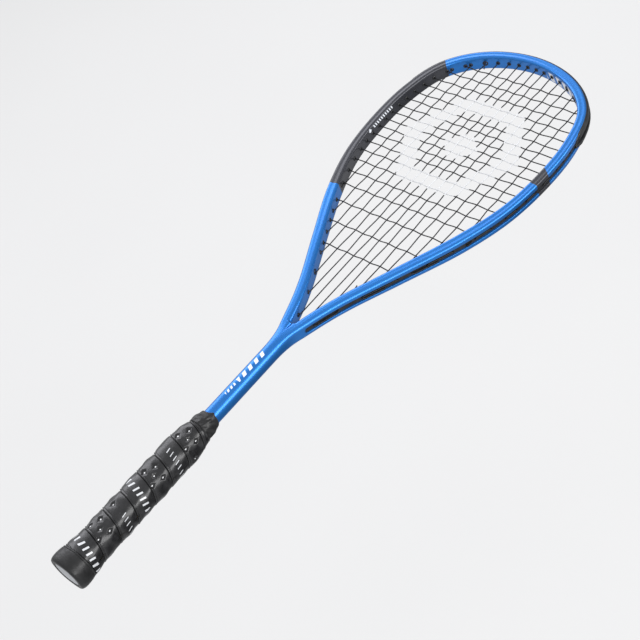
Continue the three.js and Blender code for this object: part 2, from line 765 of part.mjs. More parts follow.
addPiece("frame", makeFrame(), BLUE_PAINT);
addPiece("left_shoulder_damper", makeDamper(-1), FOAM);
addPiece("right_shoulder_damper", makeDamper(1), FOAM);
addPiece("shaft_end_plug", makeShaftPlug(), FOAM);
addPiece("head_bumper_guard", makeStrip(bumperSection, bumperFrom, bumperTo), BLACK_NYLON);
addPiece("left_grommet_strip", makeStrip(stripSection, stripFrom, bumperFrom - endGap), BLACK_NYLON);
addPiece("right_grommet_strip", makeStrip(stripSection, bumperTo + endGap, stripTo), BLACK_NYLON);
addPiece("main_string", makeMainString(), STRING_BLACK);
addPiece("cross_string", makeCrossString(), STRING_BLACK);
addPiece("front_handle_pallet", makePallet(1), PALLET_FOAM);
addPiece("rear_handle_pallet", makePallet(-1), PALLET_FOAM);
addPiece("butt_cap", makeButtCap(), CAP_RUBBER);
addPiece("butt_end_plate", makeEndPlate(), PLATE_GREY);
addPiece("grip_tape", makeGripTape(), TAPE_BLACK);
addPiece("finishing_collar", makeCollar(), CAP_RUBBER);
for (const staple of staples) addPiece(staple.name, makeStaple(staple), STEEL);

export default racket;
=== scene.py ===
"""The looks of a squash racket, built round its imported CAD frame.

Lengths in this script are millimetres in the racket's own frame: +Y from the butt to the tip,
+X across the head and +Z out of the front face. MM turns them into Blender's metres.
"""

import math

import bmesh
import bpy
import numpy as np
from mathutils import Matrix, Vector


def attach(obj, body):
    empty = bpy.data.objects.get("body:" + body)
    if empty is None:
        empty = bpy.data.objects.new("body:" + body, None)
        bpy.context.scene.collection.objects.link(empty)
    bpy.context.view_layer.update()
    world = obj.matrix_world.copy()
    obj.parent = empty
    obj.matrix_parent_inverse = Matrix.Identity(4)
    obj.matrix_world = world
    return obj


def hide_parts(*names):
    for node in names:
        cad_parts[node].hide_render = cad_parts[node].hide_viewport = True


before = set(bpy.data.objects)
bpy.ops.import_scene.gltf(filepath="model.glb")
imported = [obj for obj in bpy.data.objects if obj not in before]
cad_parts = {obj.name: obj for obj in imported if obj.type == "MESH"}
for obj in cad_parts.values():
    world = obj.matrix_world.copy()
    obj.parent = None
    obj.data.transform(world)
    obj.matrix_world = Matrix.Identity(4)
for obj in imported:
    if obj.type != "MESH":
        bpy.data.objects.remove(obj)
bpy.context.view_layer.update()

MM = 0.001

# ---- driving dimensions, as in the CAD source ----

HOOP_CENTRE_LINE = [
    (0, 677.45),
    (36, 672),
    (66, 657.3),
    (88.5, 633.6),
    (99.9, 596),
    (102.5, 555),
    (96.9, 501.3),
    (80.2, 452.3),
    (50.1, 392.6),
    (23.9, 342.4),
    (11.6, 312),
    (5.4, 290),
    (3.95, 270),
]
HEAD_HALF_WIDTH = 4.75
ARM_HALF_WIDTH = 5.5
ARM_TO_HEAD_Y = (430, 520)  # heights between which the tube narrows from the arms to the head
SHAFT_TO_ARM_Y = (272, 312)
HALF_DEPTH = 8
GROOVE_DEPTH = 2.4
GROOVE_HALF_WIDTH = 2.9
GROOVE_END_Y = 301
SHAFT_HALF_WIDTH = 7.9
SHAFT_HALF_DEPTH = 8.2
GAP = 0.3
STRIP_BASE = 0.7
STRIP_HALF_WIDTH = 2.6
BUMPER_END_Y = 597.2
BUMPER_PROUD = 1.8
BARREL_PROUD = 0.7
BARREL_RADIUS = 1.7
TIE_BARREL_RADIUS = 2.5

STRING_RADIUS = 0.575
MAIN_X = [5.2, 15.3, 26.2, 37.7, 49.9, 62.7, 77.0]
CROSS_Y = [649, 635.5, 622.5, 610.5, 598.5, 587, 576, 565, 554.5, 543.5, 532.5]
CROSS_Y += [521, 509.5, 496, 481, 464.5, 444, 420, 394]
LANE = 1.35
TIE_MAIN = 4
TIE_MAIN_LOW = 2
TIE_OFFSET = 0.75

TAPER_START_Y = 148
HANDLE_OUTLINE = [
    (0, 17.6),
    (2, 18.5),
    (6, 18.9),
    (10, 18.8),
    (17, 17.8),
    (28, 16.7),
    (50, 16.1),
    (TAPER_START_Y, 16.1),
    (160, 14.5),
    (172, 12.1),
    (184, 9.6),
    (187.5, 8.9),
]
HANDLE_DEPTH_RATIO = 0.93
COLLAR_TOP_RATIO = 1.02
DEEPER_FROM_Y = 150  # above this the handle grows deeper for its width, to suit the shaft
HANDLE_ROUNDNESS = 2.4
SHAFT_ROUNDNESS = 2.2
END_PLATE_HALF_WIDTH = 13
END_PLATE_HALF_DEPTH = 11.6
COLLAR_START_Y = 169
COLLAR_END_Y = 187.5


# ---- small helpers ----


def smoothstep(value, low, high):
    t = np.clip((np.asarray(value, float) - low) / (high - low), 0, 1)
    return t * t * (3 - 2 * t)


def lerp(a, b, t):
    return a + (b - a) * t


def unit(vectors):
    return vectors / np.linalg.norm(vectors, axis=-1, keepdims=True)


def steps_between(low, high, spacing):
    """Evenly spaced values from low to high, no further apart than spacing."""
    count = max(1, math.ceil(abs(high - low) / spacing))
    return np.linspace(low, high, count + 1)


def run_along(points):
    """Length from the first point to each point, along the line that joins them."""
    return np.r_[0, np.cumsum(np.linalg.norm(np.diff(points, axis=0), axis=1))]


def turns_round(count):
    """Evenly spaced angles once round, in radians."""
    return np.linspace(0, 2 * math.pi, count, endpoint=False)


def add_object(name, data):
    made = bpy.data.objects.new(name, data)
    bpy.context.scene.collection.objects.link(made)
    return made


# ---- meshes ----

UNMARKED = -10.0  # a mask's value well outside its mark


class Surface:
    """Points and faces of one piece, gathered from several patches."""

    def __init__(self):
        self.points = []
        self.faces = []
        self.values = {}
        self.count = 0

    def add(self, points, faces, **values):
        points = np.asarray(points, float)
        self.points.append(points)
        self.faces += [[i + self.count for i in face] for face in faces]
        for name, value in values.items():
            self.values.setdefault(name, []).append((self.count, np.broadcast_to(value, len(points))))
        self.count += len(points)

    def grid(self, rings, closed=True, caps=(False, False), flip=False, **values):
        """A patch through rings of points. A closed ring joins its last point to its first."""
        rings = np.asarray(rings, float)
        rows, columns, _ = rings.shape
        faces = []
        for r in range(rows - 1):
            for k in range(columns if closed else columns - 1):
                a = r * columns + k
                b = r * columns + (k + 1) % columns
                faces.append([a, b, b + columns, a + columns])
        if caps[0]:
            faces.append(list(range(columns))[::-1])
        if caps[1]:
            faces.append([(rows - 1) * columns + k for k in range(columns)])
        if flip:
            faces = [face[::-1] for face in faces]
        flat = {name: np.asarray(v, float).reshape(-1) for name, v in values.items()}
        self.add(rings.reshape(-1, 3), faces, **flat)

    def build(self, name, merge=0.0):
        """The mesh object in metres, with faces pointing out."""
        mesh = bpy.data.meshes.new(name)
        points = np.concatenate(self.points) * MM
        mesh.from_pydata(points.tolist(), [], self.faces)
        for attribute, filled in self.values.items():
            data = np.zeros(self.count, np.float32)
            for start, value in filled:
                data[start : start + len(value)] = value
            layer = mesh.attributes.new(attribute, "FLOAT", "POINT")
            layer.data.foreach_set("value", data)
        piece = add_object(name, mesh)
        clean(mesh, merge * MM)
        mesh.shade_smooth()
        return piece


def clean(mesh, merge):
    """Merges points that meet, drops faces that collapsed and turns faces outwards."""
    made = bmesh.new()
    made.from_mesh(mesh)
    if merge:
        bmesh.ops.remove_doubles(made, verts=made.verts, dist=merge)
    bmesh.ops.dissolve_degenerate(made, edges=made.edges, dist=1e-7)
    bmesh.ops.recalc_face_normals(made, faces=made.faces)
    made.to_mesh(mesh)
    made.free()


def oval(half_width, half_depth, exponent, angles):
    """Points of an oval, whose corners are fuller than an ellipse's above exponent 2."""
    c, s = np.cos(angles), np.sin(angles)
    x = half_width * np.sign(c) * np.abs(c) ** (2 / exponent)
    z = half_depth * np.sign(s) * np.abs(s) ** (2 / exponent)
    return x, z


# ---- the hoop's path ----


def catmull_rom(points, per_span=200):
    """A centripetal Catmull-Rom curve through the points, sampled finely."""
    points = np.asarray(points, float)
    ends = [2 * points[0] - points[1], 2 * points[-1] - points[-2]]
    p = np.vstack([ends[0], points, ends[1]])
    out = []
    for i in range(1, len(p) - 2):
        gaps = [np.linalg.norm(p[i + j] - p[i + j - 1]) ** 0.5 for j in range(3)]
        d0, d1, d2 = gaps
        t1 = (p[i] - p[i - 1]) / d0 - (p[i + 1] - p[i - 1]) / (d0 + d1)
        t1 = (t1 + (p[i + 1] - p[i]) / d1) * d1
        t2 = (p[i + 1] - p[i]) / d1 - (p[i + 2] - p[i]) / (d1 + d2)
        t2 = (t2 + (p[i + 2] - p[i + 1]) / d2) * d1
        t = np.linspace(0, 1, per_span, endpoint=False)[:, None]
        cubic = 2 * p[i] - 2 * p[i + 1] + t1 + t2
        square = -3 * p[i] + 3 * p[i + 1] - 2 * t1 - t2
        out.append(p[i] + t1 * t + square * t**2 + cubic * t**3)
    return np.vstack([*out, points[-1:]])


class Hoop:
    """The hoop's centre line by its length from the tip: negative on the left."""

    SPACING = 0.25
    SMOOTHING = 5.0  # evens out the curvature between the points of the outline

    def __init__(self):
        right = np.array(HOOP_CENTRE_LINE, float)
        left = right[:0:-1] * [-1, 1]
        dense = catmull_rom(np.vstack([left, right]))
        run = run_along(dense)
        even = np.arange(0, run[-1], self.SPACING)
        line = np.stack([np.interp(even, run, dense[:, i]) for i in range(2)], 1)
        reach = int(4 * self.SMOOTHING / self.SPACING)
        weights = np.exp(-0.5 * (np.arange(-reach, reach + 1) * self.SPACING / self.SMOOTHING) ** 2)
        weights /= weights.sum()
        ends = [2 * line[0] - line[reach:0:-1], 2 * line[-1] - line[-2 : -reach - 2 : -1]]
        padded = np.vstack([ends[0], line, ends[1]])
        line = np.stack([np.convolve(padded[:, i], weights, "valid") for i in range(2)], 1)
        line = (line + line[::-1] * [-1, 1]) / 2
        run = run_along(line)
        self.run = run - run[-1] / 2
        self.line = line
        self.reach = run[-1] / 2
        self.tangent = unit(np.gradient(line, self.run, axis=0))

    def at(self, length):
        """Centre, direction along and direction out of the hoop at a length from the tip."""
        length = np.asarray(length, float)
        centre = [np.interp(length, self.run, self.line[:, i]) for i in range(2)]
        along = [np.interp(length, self.run, self.tangent[:, i]) for i in range(2)]
        centre, along = np.stack(centre, -1), unit(np.stack(along, -1))
        out = np.stack([-along[..., 1], along[..., 0]], -1)
        return centre, along, out

    def find(self, measure, low, high):
        """The length where a measure passes zero between two lengths."""
        rising = measure(low) < 0
        for _ in range(50):
            middle = (low + high) / 2
            if (measure(middle) < 0) == rising:
                low = middle
            else:
                high = middle
        return (low + high) / 2

    def at_height(self, y, side):
        return self.find(lambda v: self.at(v)[0][1] - y, side * (self.reach - 1), 0.0)

    def point(self, length, s, z):
        """The point s out from the centre line and z in front of the string plane."""
        centre, _, out = self.at(length)
        flat = centre + np.asarray(s)[..., None] * out
        return np.concatenate([flat, np.broadcast_to(z, flat.shape[:-1])[..., None]], -1)


def half_width(y):
    """Half-width of the tube's section, as in the CAD source."""
    wide = lerp(HEAD_HALF_WIDTH, ARM_HALF_WIDTH, 1 - smoothstep(y, *ARM_TO_HEAD_Y))
    return lerp(wide, SHAFT_HALF_WIDTH / 2, 1 - smoothstep(y, *SHAFT_TO_ARM_Y))


hoop = Hoop()


# ---- the string holes ----

KINK = BARREL_PROUD + 0.4


def mouth(length):
    centre, _, out = hoop.at(length)
    return centre - (half_width(centre[..., 1])[..., None] + KINK) * out


def side_turn(side):
    """The length where the hoop is widest on one side."""
    return hoop.find(lambda v: hoop.at(v)[2][1], side * 40, side * 400)


def main_hole(x, top):
    side = math.copysign(1, x)
    near = 0.0 if top else side * (hoop.reach - 12)
    return hoop.find(lambda v: abs(mouth(v)[0]) - abs(x), side_turn(side), near)


def cross_hole(y, side):
    return hoop.find(lambda v: mouth(v)[1] - y, side * (hoop.reach - 12), 0.0)


mains = [-x for x in MAIN_X[::-1]] + MAIN_X
main_tops = [main_hole(x, True) for x in mains]
main_bottoms = [main_hole(x, False) for x in mains]
cross_lefts = [cross_hole(y, -1) for y in CROSS_Y]
cross_rights = [cross_hole(y, 1) for y in CROSS_Y]


def is_tie_top(x):
    return abs(x) == MAIN_X[TIE_MAIN]


def is_tie_bottom(x):
    return abs(x) == MAIN_X[TIE_MAIN_LOW]


def barrel_radius(tied):
    return TIE_BARREL_RADIUS if tied else BARREL_RADIUS


holes = [(v, barrel_radius(is_tie_top(x))) for x, v in zip(mains, main_tops)]
holes += [(v, barrel_radius(is_tie_bottom(x))) for x, v in zip(mains, main_bottoms)]
holes += [(v, BARREL_RADIUS) for v in cross_lefts + cross_rights]


# ---- the frame ----

HEAD_CORNER = 2.3  # radius between the front face and the sides
ARM_CORNER = 3.9
CORNER_CHANGE_Y = (350, 470)  # heights between which the arms' corners turn into the head's
LIP = 0.5  # radius of the groove's lips
CROTCH_RADIUS = 2.6
CREASE_END_Y = 284  # where the crease below the crotch has faded out
OVAL_FROM_Y = 300  # the section turns into the shaft's oval below this
OVAL_BY_Y = 264
SQUARE_BY_Y = 370  # above this a ring stands square to the tube, and by 325 square to +Y
LEVEL_BY_Y = 325
SHAFT_END_Y = 176  # inside the collar
FACE_VALLEY = 0.16  # depth of the shallow channel along the head's front face


def arc(centre, radius, start, end, steps=8):
    angles = np.radians(np.linspace(start, end, steps + 1))
    return [(centre[0] + radius * math.cos(a), centre[1] + radius * math.sin(a)) for a in angles]


def outer_profile(s_out, groove_depth, groove_half):
    """From the middle of the outer side, across the groove, to the start of the corner."""
    floor = s_out - groove_depth
    small = min(0.25, groove_depth / 2)
    lip = min(LIP, groove_depth / 2)
    points = [(floor, 0), (floor, groove_half * 0.5), (floor, groove_half - small)]
    points += [(floor + small, groove_half), (s_out - lip, groove_half)]
    points += arc((s_out - lip, groove_half + lip), lip, -90, 0, 4)[1:]
    return points


def front_profile(s_in, s_out, depth, corner, inner_corner, valley):
    """From the outer corner over the front face to the end of the inner corner."""
    points = arc((s_out - corner, depth - corner), corner, 0, 90)
    left, right = s_in + inner_corner, s_out - corner
    for t in np.linspace(0, 1, 8)[1:-1]:
        points.append((lerp(right, left, t), depth - valley * math.sin(math.pi * t) ** 2))
    return points + arc((left, depth - inner_corner), inner_corner, 90, 180)


def quarter_oval(profile):
    """Points on the shaft's quarter oval, spaced as the profile's points are."""
    share = run_along(profile)
    fine = np.linspace(0, math.pi / 2, 400)
    x, z = oval(SHAFT_HALF_WIDTH, SHAFT_HALF_DEPTH, SHAFT_ROUNDNESS, fine)
    run = run_along(np.stack([x, z], 1))
    at = share / share[-1] * run[-1]
    return np.interp(at, run, x), np.interp(at, run, z)


class Throat:
    """The inner wall near the crotch, where a round joins the two arms."""

    def __init__(self):
        lengths = np.linspace(hoop.at_height(330, 1), hoop.at_height(285, 1), 900)
        centre, along, _ = hoop.at(lengths)
        wall = np.stack([centre[:, 0] + ARM_HALF_WIDTH / along[:, 1], centre[:, 1]], 1)
        self.wall_y, self.wall_x = wall[::-1, 1], wall[::-1, 0]
        low, high = 290.0, 325.0
        for _ in range(40):
            middle = (low + high) / 2
            apart = np.linalg.norm(wall - [0, middle], axis=1)
            low, high = (middle, high) if apart.min() < CROTCH_RADIUS else (low, middle)
        self.centre_y = middle
        self.bottom_y = middle - CROTCH_RADIUS
        self.tangent_y = wall[apart.argmin(), 1]

    def inner_x(self, y):
        """The inner wall's x at a height near the crotch."""
        if y <= self.bottom_y:
            return 0.0
        if y < self.tangent_y:
            return math.sqrt(CROTCH_RADIUS**2 - (self.centre_y - y) ** 2)
        return float(np.interp(y, self.wall_y, self.wall_x))


throat = Throat()


def groove_at(y):
    """Depth and half-width of the groove, which ends in a half round."""
    inside = y - GROOVE_END_Y
    if inside <= 0:
        return 0.0, GROOVE_HALF_WIDTH
    if inside >= GROOVE_HALF_WIDTH:
        return GROOVE_DEPTH, GROOVE_HALF_WIDTH
    missing = 1 - inside / GROOVE_HALF_WIDTH
    return GROOVE_DEPTH, max(0.3, GROOVE_HALF_WIDTH * math.sqrt(1 - missing**2))


def ring_direction(y, along, out):
    """The direction that a ring's points are laid out in, level near the throat."""
    up = -along
    level = 1 - float(smoothstep(y, LEVEL_BY_Y, SQUARE_BY_Y))
    return out - level * out[1] / up[1] * up


def frame_ring(centre, along, out, length, has_wall):
    """Front half of one ring, from the middle of its outer side inwards."""
    x, y = centre
    half = float(half_width(y))
    direction = ring_direction(y, along, out)
    joined = y < throat.bottom_y + 0.001
    s_in = -half
    if y < LEVEL_BY_Y:
        s_in = (throat.inner_x(y) - x) / direction[0]
    depth = lerp(SHAFT_HALF_DEPTH, HALF_DEPTH, float(smoothstep(y, OVAL_BY_Y, OVAL_FROM_Y)))
    slender = float(smoothstep(y, *CORNER_CHANGE_Y))
    corner = lerp(ARM_CORNER, HEAD_CORNER, slender)
    inner_corner = corner
    if joined:
        inner_corner = max(0.02, corner * float(smoothstep(y, CREASE_END_Y, throat.bottom_y)))
    groove_depth, groove_half = groove_at(y)
    profile = outer_profile(half, groove_depth, groove_half)
    profile += front_profile(s_in, half, depth, corner, inner_corner, FACE_VALLEY * slender)
    profile = np.array(profile)
    points = np.zeros((len(profile), 3))
    points[:, :2] = centre + profile[:, :1] * direction
    points[:, 2] = profile[:, 1]
    rounding = 1 - float(smoothstep(y, OVAL_BY_Y, OVAL_FROM_Y))
    if rounding:
        oval_x, oval_z = quarter_oval(profile)
        points[:, 0] = lerp(points[:, 0], oval_x, rounding)
        points[:, 2] = lerp(points[:, 2], oval_z, rounding)
    side = np.zeros((0, 3))
    if has_wall:
        wall = np.linspace(depth - inner_corner, 0, 7)[1:]
        flat = np.repeat((centre + s_in * direction)[None], len(wall), 0)
        side = np.column_stack([flat, wall])
    outward = np.r_[profile[:, 0], np.full(len(side), s_in)]
    return np.vstack([points, side]), outward, np.full(len(outward), length)


def thinned(values, least):
    """The values in order, without any that follow another by less than least."""
    kept = []
    for value in np.sort(values):
        if not kept or value - kept[-1] >= least:
            kept.append(value)
    return np.array(kept)


def stations_between(lengths):
    centres, alongs, outs = hoop.at(lengths)
    return list(zip(centres, alongs, outs, lengths))


def frame_stations():
    """Places for rings from the tip down the right side to the shaft."""
    level = hoop.at_height(LEVEL_BY_Y, 1)
    crotch = hoop.at_height(throat.bottom_y, 1)
    foot = hoop.reach - 2
    head = steps_between(0, level, 1.8)
    arms = steps_between(level, crotch, 0.8)
    near_crotch = crotch - np.array([0.02, 0.08, 0.2, 0.35, 0.55])
    groove_end = [hoop.at_height(GROOVE_END_Y + h, 1) for h in (0, 0.03, 0.12, 0.3, 0.6, 1.2, 2.0)]
    above = thinned(np.concatenate([head, arms, near_crotch, groove_end]), 0.02)
    above = above[above < crotch - 0.015]
    below = steps_between(crotch, foot, 0.8)
    closed = stations_between(np.append(above, crotch))
    opened = stations_between(below)
    groove_below = [v for v in groove_end if v > crotch + 0.015]
    if groove_below:
        opened = stations_between(thinned(np.append(below, groove_below), 0.02))
    last = opened[-1]
    straight = (np.array([0.0, -1.0]), np.array([1.0, 0.0]))
    for y in steps_between(last[0][1] - 1.5, SHAFT_END_Y, 2.0):
        centre = np.array([last[0][0], y])
        opened.append((centre, *straight, last[3] + last[0][1] - y))
    return closed, opened


def whole_ring(station, closed):
    """A full ring, or one left open on the plane where the two arms join."""
    front, outward, length = frame_ring(*station, closed)
    rear = slice(-2 if closed else None, 0, -1)
    halves = [(front, front[rear] * [1, 1, -1]), (outward, outward[rear]), (length, length[rear])]
    return [np.concatenate(half if closed else half[::-1]) for half in halves]


def make_frame_surface():
    surface = Surface()
    for stations, is_closed in zip(frame_stations(), (True, False)):
        made = [whole_ring(station, is_closed) for station in stations]
        rings, outward, length = (np.array(part) for part in zip(*made))
        for side in (1, -1):
            surface.grid(
                rings * [side, 1, 1],
                closed=is_closed,
                caps=(False, not is_closed),
                flip=side < 0,
                outward=outward,
                along=length * side,
            )
    return surface


# ---- strips, bumper and grommets ----

BUMPER_TAPER = 11  # length over which each end of the bumper thins out
BUMPER_WRAP = 7.3  # half-width to its edges, which wrap round the frame's corners
BARREL_WALL = 0.75
FLANGE_REACH = 0.5  # how far a barrel's flange stands out round it, against the inner wall


def groove_floor(y):
    return half_width(y) - GROOVE_DEPTH + GAP


def mirrored(profile):
    """A closed section from its front half, which starts and ends on the string plane."""
    return profile + [(s, -z) for s, z in profile[-2:0:-1]]


def strip_section(y, end):
    low = groove_floor(y)
    high = low + STRIP_BASE
    width = STRIP_HALF_WIDTH * math.sqrt(max(0.02, 1 - max(0, 1 - end / STRIP_HALF_WIDTH) ** 2))
    corner = 0.2
    profile = [(low, 0), (low, width - corner), (low + corner, width), (high - corner, width)]
    profile += [(high, width - corner), (high, width * 0.72), (high - 0.12, width * 0.62), (high - 0.12, 0)]
    return mirrored(profile)


def bumper_section(y, end):
    """The bumper's section at a height, and at a distance from its nearer end."""
    half = half_width(y)
    full = float(smoothstep(end, -1.5, BUMPER_TAPER))
    low, channel = groove_floor(y), groove_floor(y) + STRIP_BASE
    rim = half + lerp(0.15, BUMPER_PROUD, full)
    side, edge = half + 0.12, half + 0.12 - 0.75 * full
    width = lerp(STRIP_HALF_WIDTH + 0.5, BUMPER_WRAP, full)
    inner, shoulder = STRIP_HALF_WIDTH - 0.5, STRIP_HALF_WIDTH + 2 * full
    profile = [(low, 0), (low, STRIP_HALF_WIDTH), (side, STRIP_HALF_WIDTH), (side, width - 1.6)]
    profile += [(edge, width - 0.2), (edge + 0.12, width), (edge + 0.5 * full, width - 0.05)]
    profile += [(lerp(side, rim, 0.55), lerp(width, shoulder, 0.45)), (rim - 0.35 * full, shoulder)]
    profile += [(rim - 0.1 * full, shoulder - 0.5), (rim, shoulder - 1.0), (rim, inner + 0.35)]
    profile += [(rim - 0.12, inner + 0.1), (rim - 0.4 * full - 0.05, inner)]
    profile += [(channel + 0.2, inner - 0.1), (channel, inner - 0.35), (channel, 0)]
    return mirrored(profile)


def add_sweep(surface, section, start, stop, spacing=1.6):
    lengths = steps_between(start, stop, spacing)
    near_ends = [v for d in (0.15, 0.5, 1.0) for v in (start + d, stop - d)]
    lengths = thinned(np.append(lengths, near_ends), 0.1)
    rings = []
    for length in lengths:
        y = float(hoop.at(length)[0][1])
        profile = np.array(section(y, min(length - start, stop - length)))
        rings.append(hoop.point(length, profile[:, 0], profile[:, 1]))
    surface.grid(rings, caps=(True, True))


def add_grommet(surface, length, radius, sides=20):
    """One barrel, from the groove through the inner wall, with a rounded mouth."""
    centre, _, out = hoop.at(length)
    half = float(half_width(centre[1]))
    bore = radius - BARREL_WALL
    mouth_s, wall_s, back_s = -half - BARREL_PROUD, -half, groove_floor(centre[1])
    flange = radius + FLANGE_REACH
    profile = [(back_s, bore), (back_s, radius), (wall_s + 0.4, radius), (wall_s + 0.05, flange)]
    profile += [(wall_s - 0.3, flange), (wall_s - 0.44, flange - 0.14), (wall_s - 0.48, radius)]
    profile += [(mouth_s + 0.14, radius - 0.04), (mouth_s + 0.02, radius - 0.2)]
    profile += [(mouth_s, radius - 0.38), (mouth_s + 0.05, bore + 0.12), (mouth_s + 0.3, bore)]
    profile.append(profile[0])
    turns = turns_round(sides)
    across = np.array([-out[1], out[0], 0])
    out3, centre3 = np.array([*out, 0]), np.array([*centre, 0])
    rings = []
    for s, r in profile:
        circle = np.outer(np.cos(turns) * r, across)
        circle[:, 2] += np.sin(turns) * r
        rings.append(centre3 + s * out3 + circle)
    surface.grid(rings)


def make_strip(name, section, start, stop):
    surface = Surface()
    add_sweep(surface, section, start, stop)
    for length, radius in holes:
        if start < length < stop:
            add_grommet(surface, length, radius)
    return surface.build(name, merge=0.01)


# ---- strings ----

WEAVE = 0.65  # how far a cross string passes above or below the string plane at a main
MAIN_WEAVE = 0.55  # and how far the main gives way to it
BEND = 1.6  # length over which a string turns at a hole
STRING_SIDES = 10
LOOP_SHIFT = 2.2
KNOT_RUN = 5
STENCIL_CENTRE = (0, 553)
STENCIL_OUTER = 60  # from the centre to the sides of the hexagon ring
STENCIL_INNER = 43
STENCIL_DIAMOND = 21  # from the centre to the diamond's points


def lane_s(length):
    half = half_width(hoop.at(length)[0][..., 1])
    return half - GROOVE_DEPTH + 2 * GAP + STRIP_BASE + STRING_RADIUS


def outer_end(length, z=0.0):
    return hoop.point(length, lane_s(length), z)


def inner_end(length, z=0.0):
    return hoop.point(length, -half_width(hoop.at(length)[0][1]) - KINK, z)


def along_groove(start, stop, lane):
    way = math.copysign(1, stop - start)
    lengths = steps_between(start + way * LOOP_SHIFT, stop - way * LOOP_SHIFT, 4)
    return [outer_end(v, lane) for v in lengths]


def eased(a, b, share):
    """From a to b as the share goes from 0 to 1, level at both ends."""
    return lerp(a, b, 0.5 - 0.5 * math.cos(math.pi * share))


def is_over(row, column):
    """Whether a cross string passes in front of a main."""
    return (row + column) % 2 == 1


def waved(knots, spacing):
    """Places along a string and their heights, from knot to knot, level at each."""
    pairs = []
    for (v0, z0), (v1, z1) in zip(knots, knots[1:]):
        pairs += [(lerp(v0, v1, t), eased(z0, z1, t)) for t in steps_between(0, 1, spacing)[:-1]]
    return pairs


def main_stretch(column):
    """One main string from its lower hole to its upper one, giving way at each cross."""
    x, low, high = mains[column], main_bottoms[column], main_tops[column]
    low_z = -TIE_OFFSET if is_tie_bottom(x) else 0.0
    high_z = -TIE_OFFSET if is_tie_top(x) else 0.0
    foot, top = inner_end(low, low_z), inner_end(high, high_z)
    knots = [(foot[1] + 6, 0.0)]
    for row, y in reversed(list(enumerate(CROSS_Y))):
        if foot[1] + 8 < y < top[1] - 8:
            knots.append((y, -MAIN_WEAVE if is_over(row, column) else MAIN_WEAVE))
    knots.append((top[1] - 6, 0.0))
    straight = [np.array([x, y, z]) for y, z in waved(knots, 1 / 6)]
    straight.append(np.array([x, knots[-1][0], 0.0]))
    return [outer_end(low, low_z), foot, *straight, top, outer_end(high, high_z)]


def main_route():
    route = []
    for column in range(len(mains)):
        stretch = main_stretch(column)
        route += stretch if column % 2 == 0 else stretch[::-1]
        if column + 1 < len(mains):
            ends = main_tops if column % 2 == 0 else main_bottoms
            route += along_groove(ends[column], ends[column + 1], -LANE)
    first, last = main_bottoms[0], main_bottoms[-1]
    start = [outer_end(first - d, -LANE) for d in (KNOT_RUN, LOOP_SHIFT)]
    finish = [outer_end(last + d, -LANE) for d in (LOOP_SHIFT, KNOT_RUN)]
    return [*start, *route, *finish]


def cross_stretch(row):
    """One cross string from left to right, over one main and under the next."""
    y, left, right = CROSS_Y[row], cross_lefts[row], cross_rights[row]
    start, stop = inner_end(left), inner_end(right)
    knots = [(start[0], 0.0)]
    for column, x in enumerate(mains):
        if start[0] + 1 < x < stop[0] - 1:
            knots.append((x, WEAVE if is_over(row, column) else -WEAVE))
    knots.append((stop[0], 0.0))
    points = [np.array([x, y, z]) for x, z in waved(knots, 1 / 8)]
    return [outer_end(left), *points, stop, outer_end(right)]


def tied_end(length, tail):
    """A cross string's end: through a shared grommet to a knot, with a short tail."""
    lift = TIE_OFFSET + 1.2
    knot = hoop.point(length, -half_width(hoop.at(length)[0][1]) - KINK - 1.8, lift)
    return [outer_end(length, TIE_OFFSET), inner_end(length, TIE_OFFSET), knot, knot + tail]


def cross_route():
    start_column = mains.index(-MAIN_X[TIE_MAIN])
    end_column = mains.index(MAIN_X[TIE_MAIN_LOW])
    start, finish = main_tops[start_column], main_bottoms[end_column]
    opening = tied_end(start, np.array([5, -7, 0.6]))
    closing = tied_end(finish, np.array([-1.8, 2.6, -0.4]))
    route = opening[::-1] + along_groove(start, cross_lefts[0], LANE)
    for row in range(len(CROSS_Y)):
        rightward = row % 2 == 0
        stretch = cross_stretch(row)
        route += stretch if rightward else stretch[::-1]
        ends = cross_rights if rightward else cross_lefts
        if row + 1 < len(CROSS_Y):
            route += along_groove(ends[row], ends[row + 1], LANE)
    route += along_groove(cross_rights[-1], finish, LANE) + closing
    return route, opening[2], closing[2]


def rounded(route):
    """The route with each sharp bend turned into a short curve."""
    route = np.asarray(route, float)
    out = [route[0]]
    for before, point, after in zip(route, route[1:], route[2:]):
        a, b = before - point, after - point
        la, lb = np.linalg.norm(a), np.linalg.norm(b)
        straightness = -np.dot(a, b) / (la * lb)
        if straightness > 0.985:
            out.append(point)
            continue
        p = point + a / la * min(BEND, la * 0.45)
        q = point + b / lb * min(BEND, lb * 0.45)
        for t in np.linspace(0, 1, 6):
            out.append((1 - t) ** 2 * p + 2 * t * (1 - t) * point + t**2 * q)
    return np.array([*out, route[-1]])


def tube_rings(path, radius):
    """Rings of a round tube along a path."""
    path = np.asarray(path, float)
    along = unit(np.gradient(path, axis=0))
    side = np.array([0.0, 0.0, 1.0])
    turns = turns_round(STRING_SIDES)
    rings = []
    for point, direction in zip(path, along):
        side = side - direction * (side @ direction)
        side /= np.linalg.norm(side)
        other = np.cross(direction, side)
        rings.append(point + radius * (np.outer(np.cos(turns), side) + np.outer(np.sin(turns), other)))
    return np.array(rings)


def stencil_value(points):
    """How far inside the painted hexagon ring or diamond a point lies, in millimetres."""
    x = np.abs(points[..., 0] - STENCIL_CENTRE[0])
    y = np.abs(points[..., 1] - STENCIL_CENTRE[1])
    hexagon = np.maximum(x * 0.866 + y * 0.5, y)
    ring = np.minimum(STENCIL_OUTER - hexagon, hexagon - STENCIL_INNER)
    return np.maximum(ring, STENCIL_DIAMOND - (x + y))


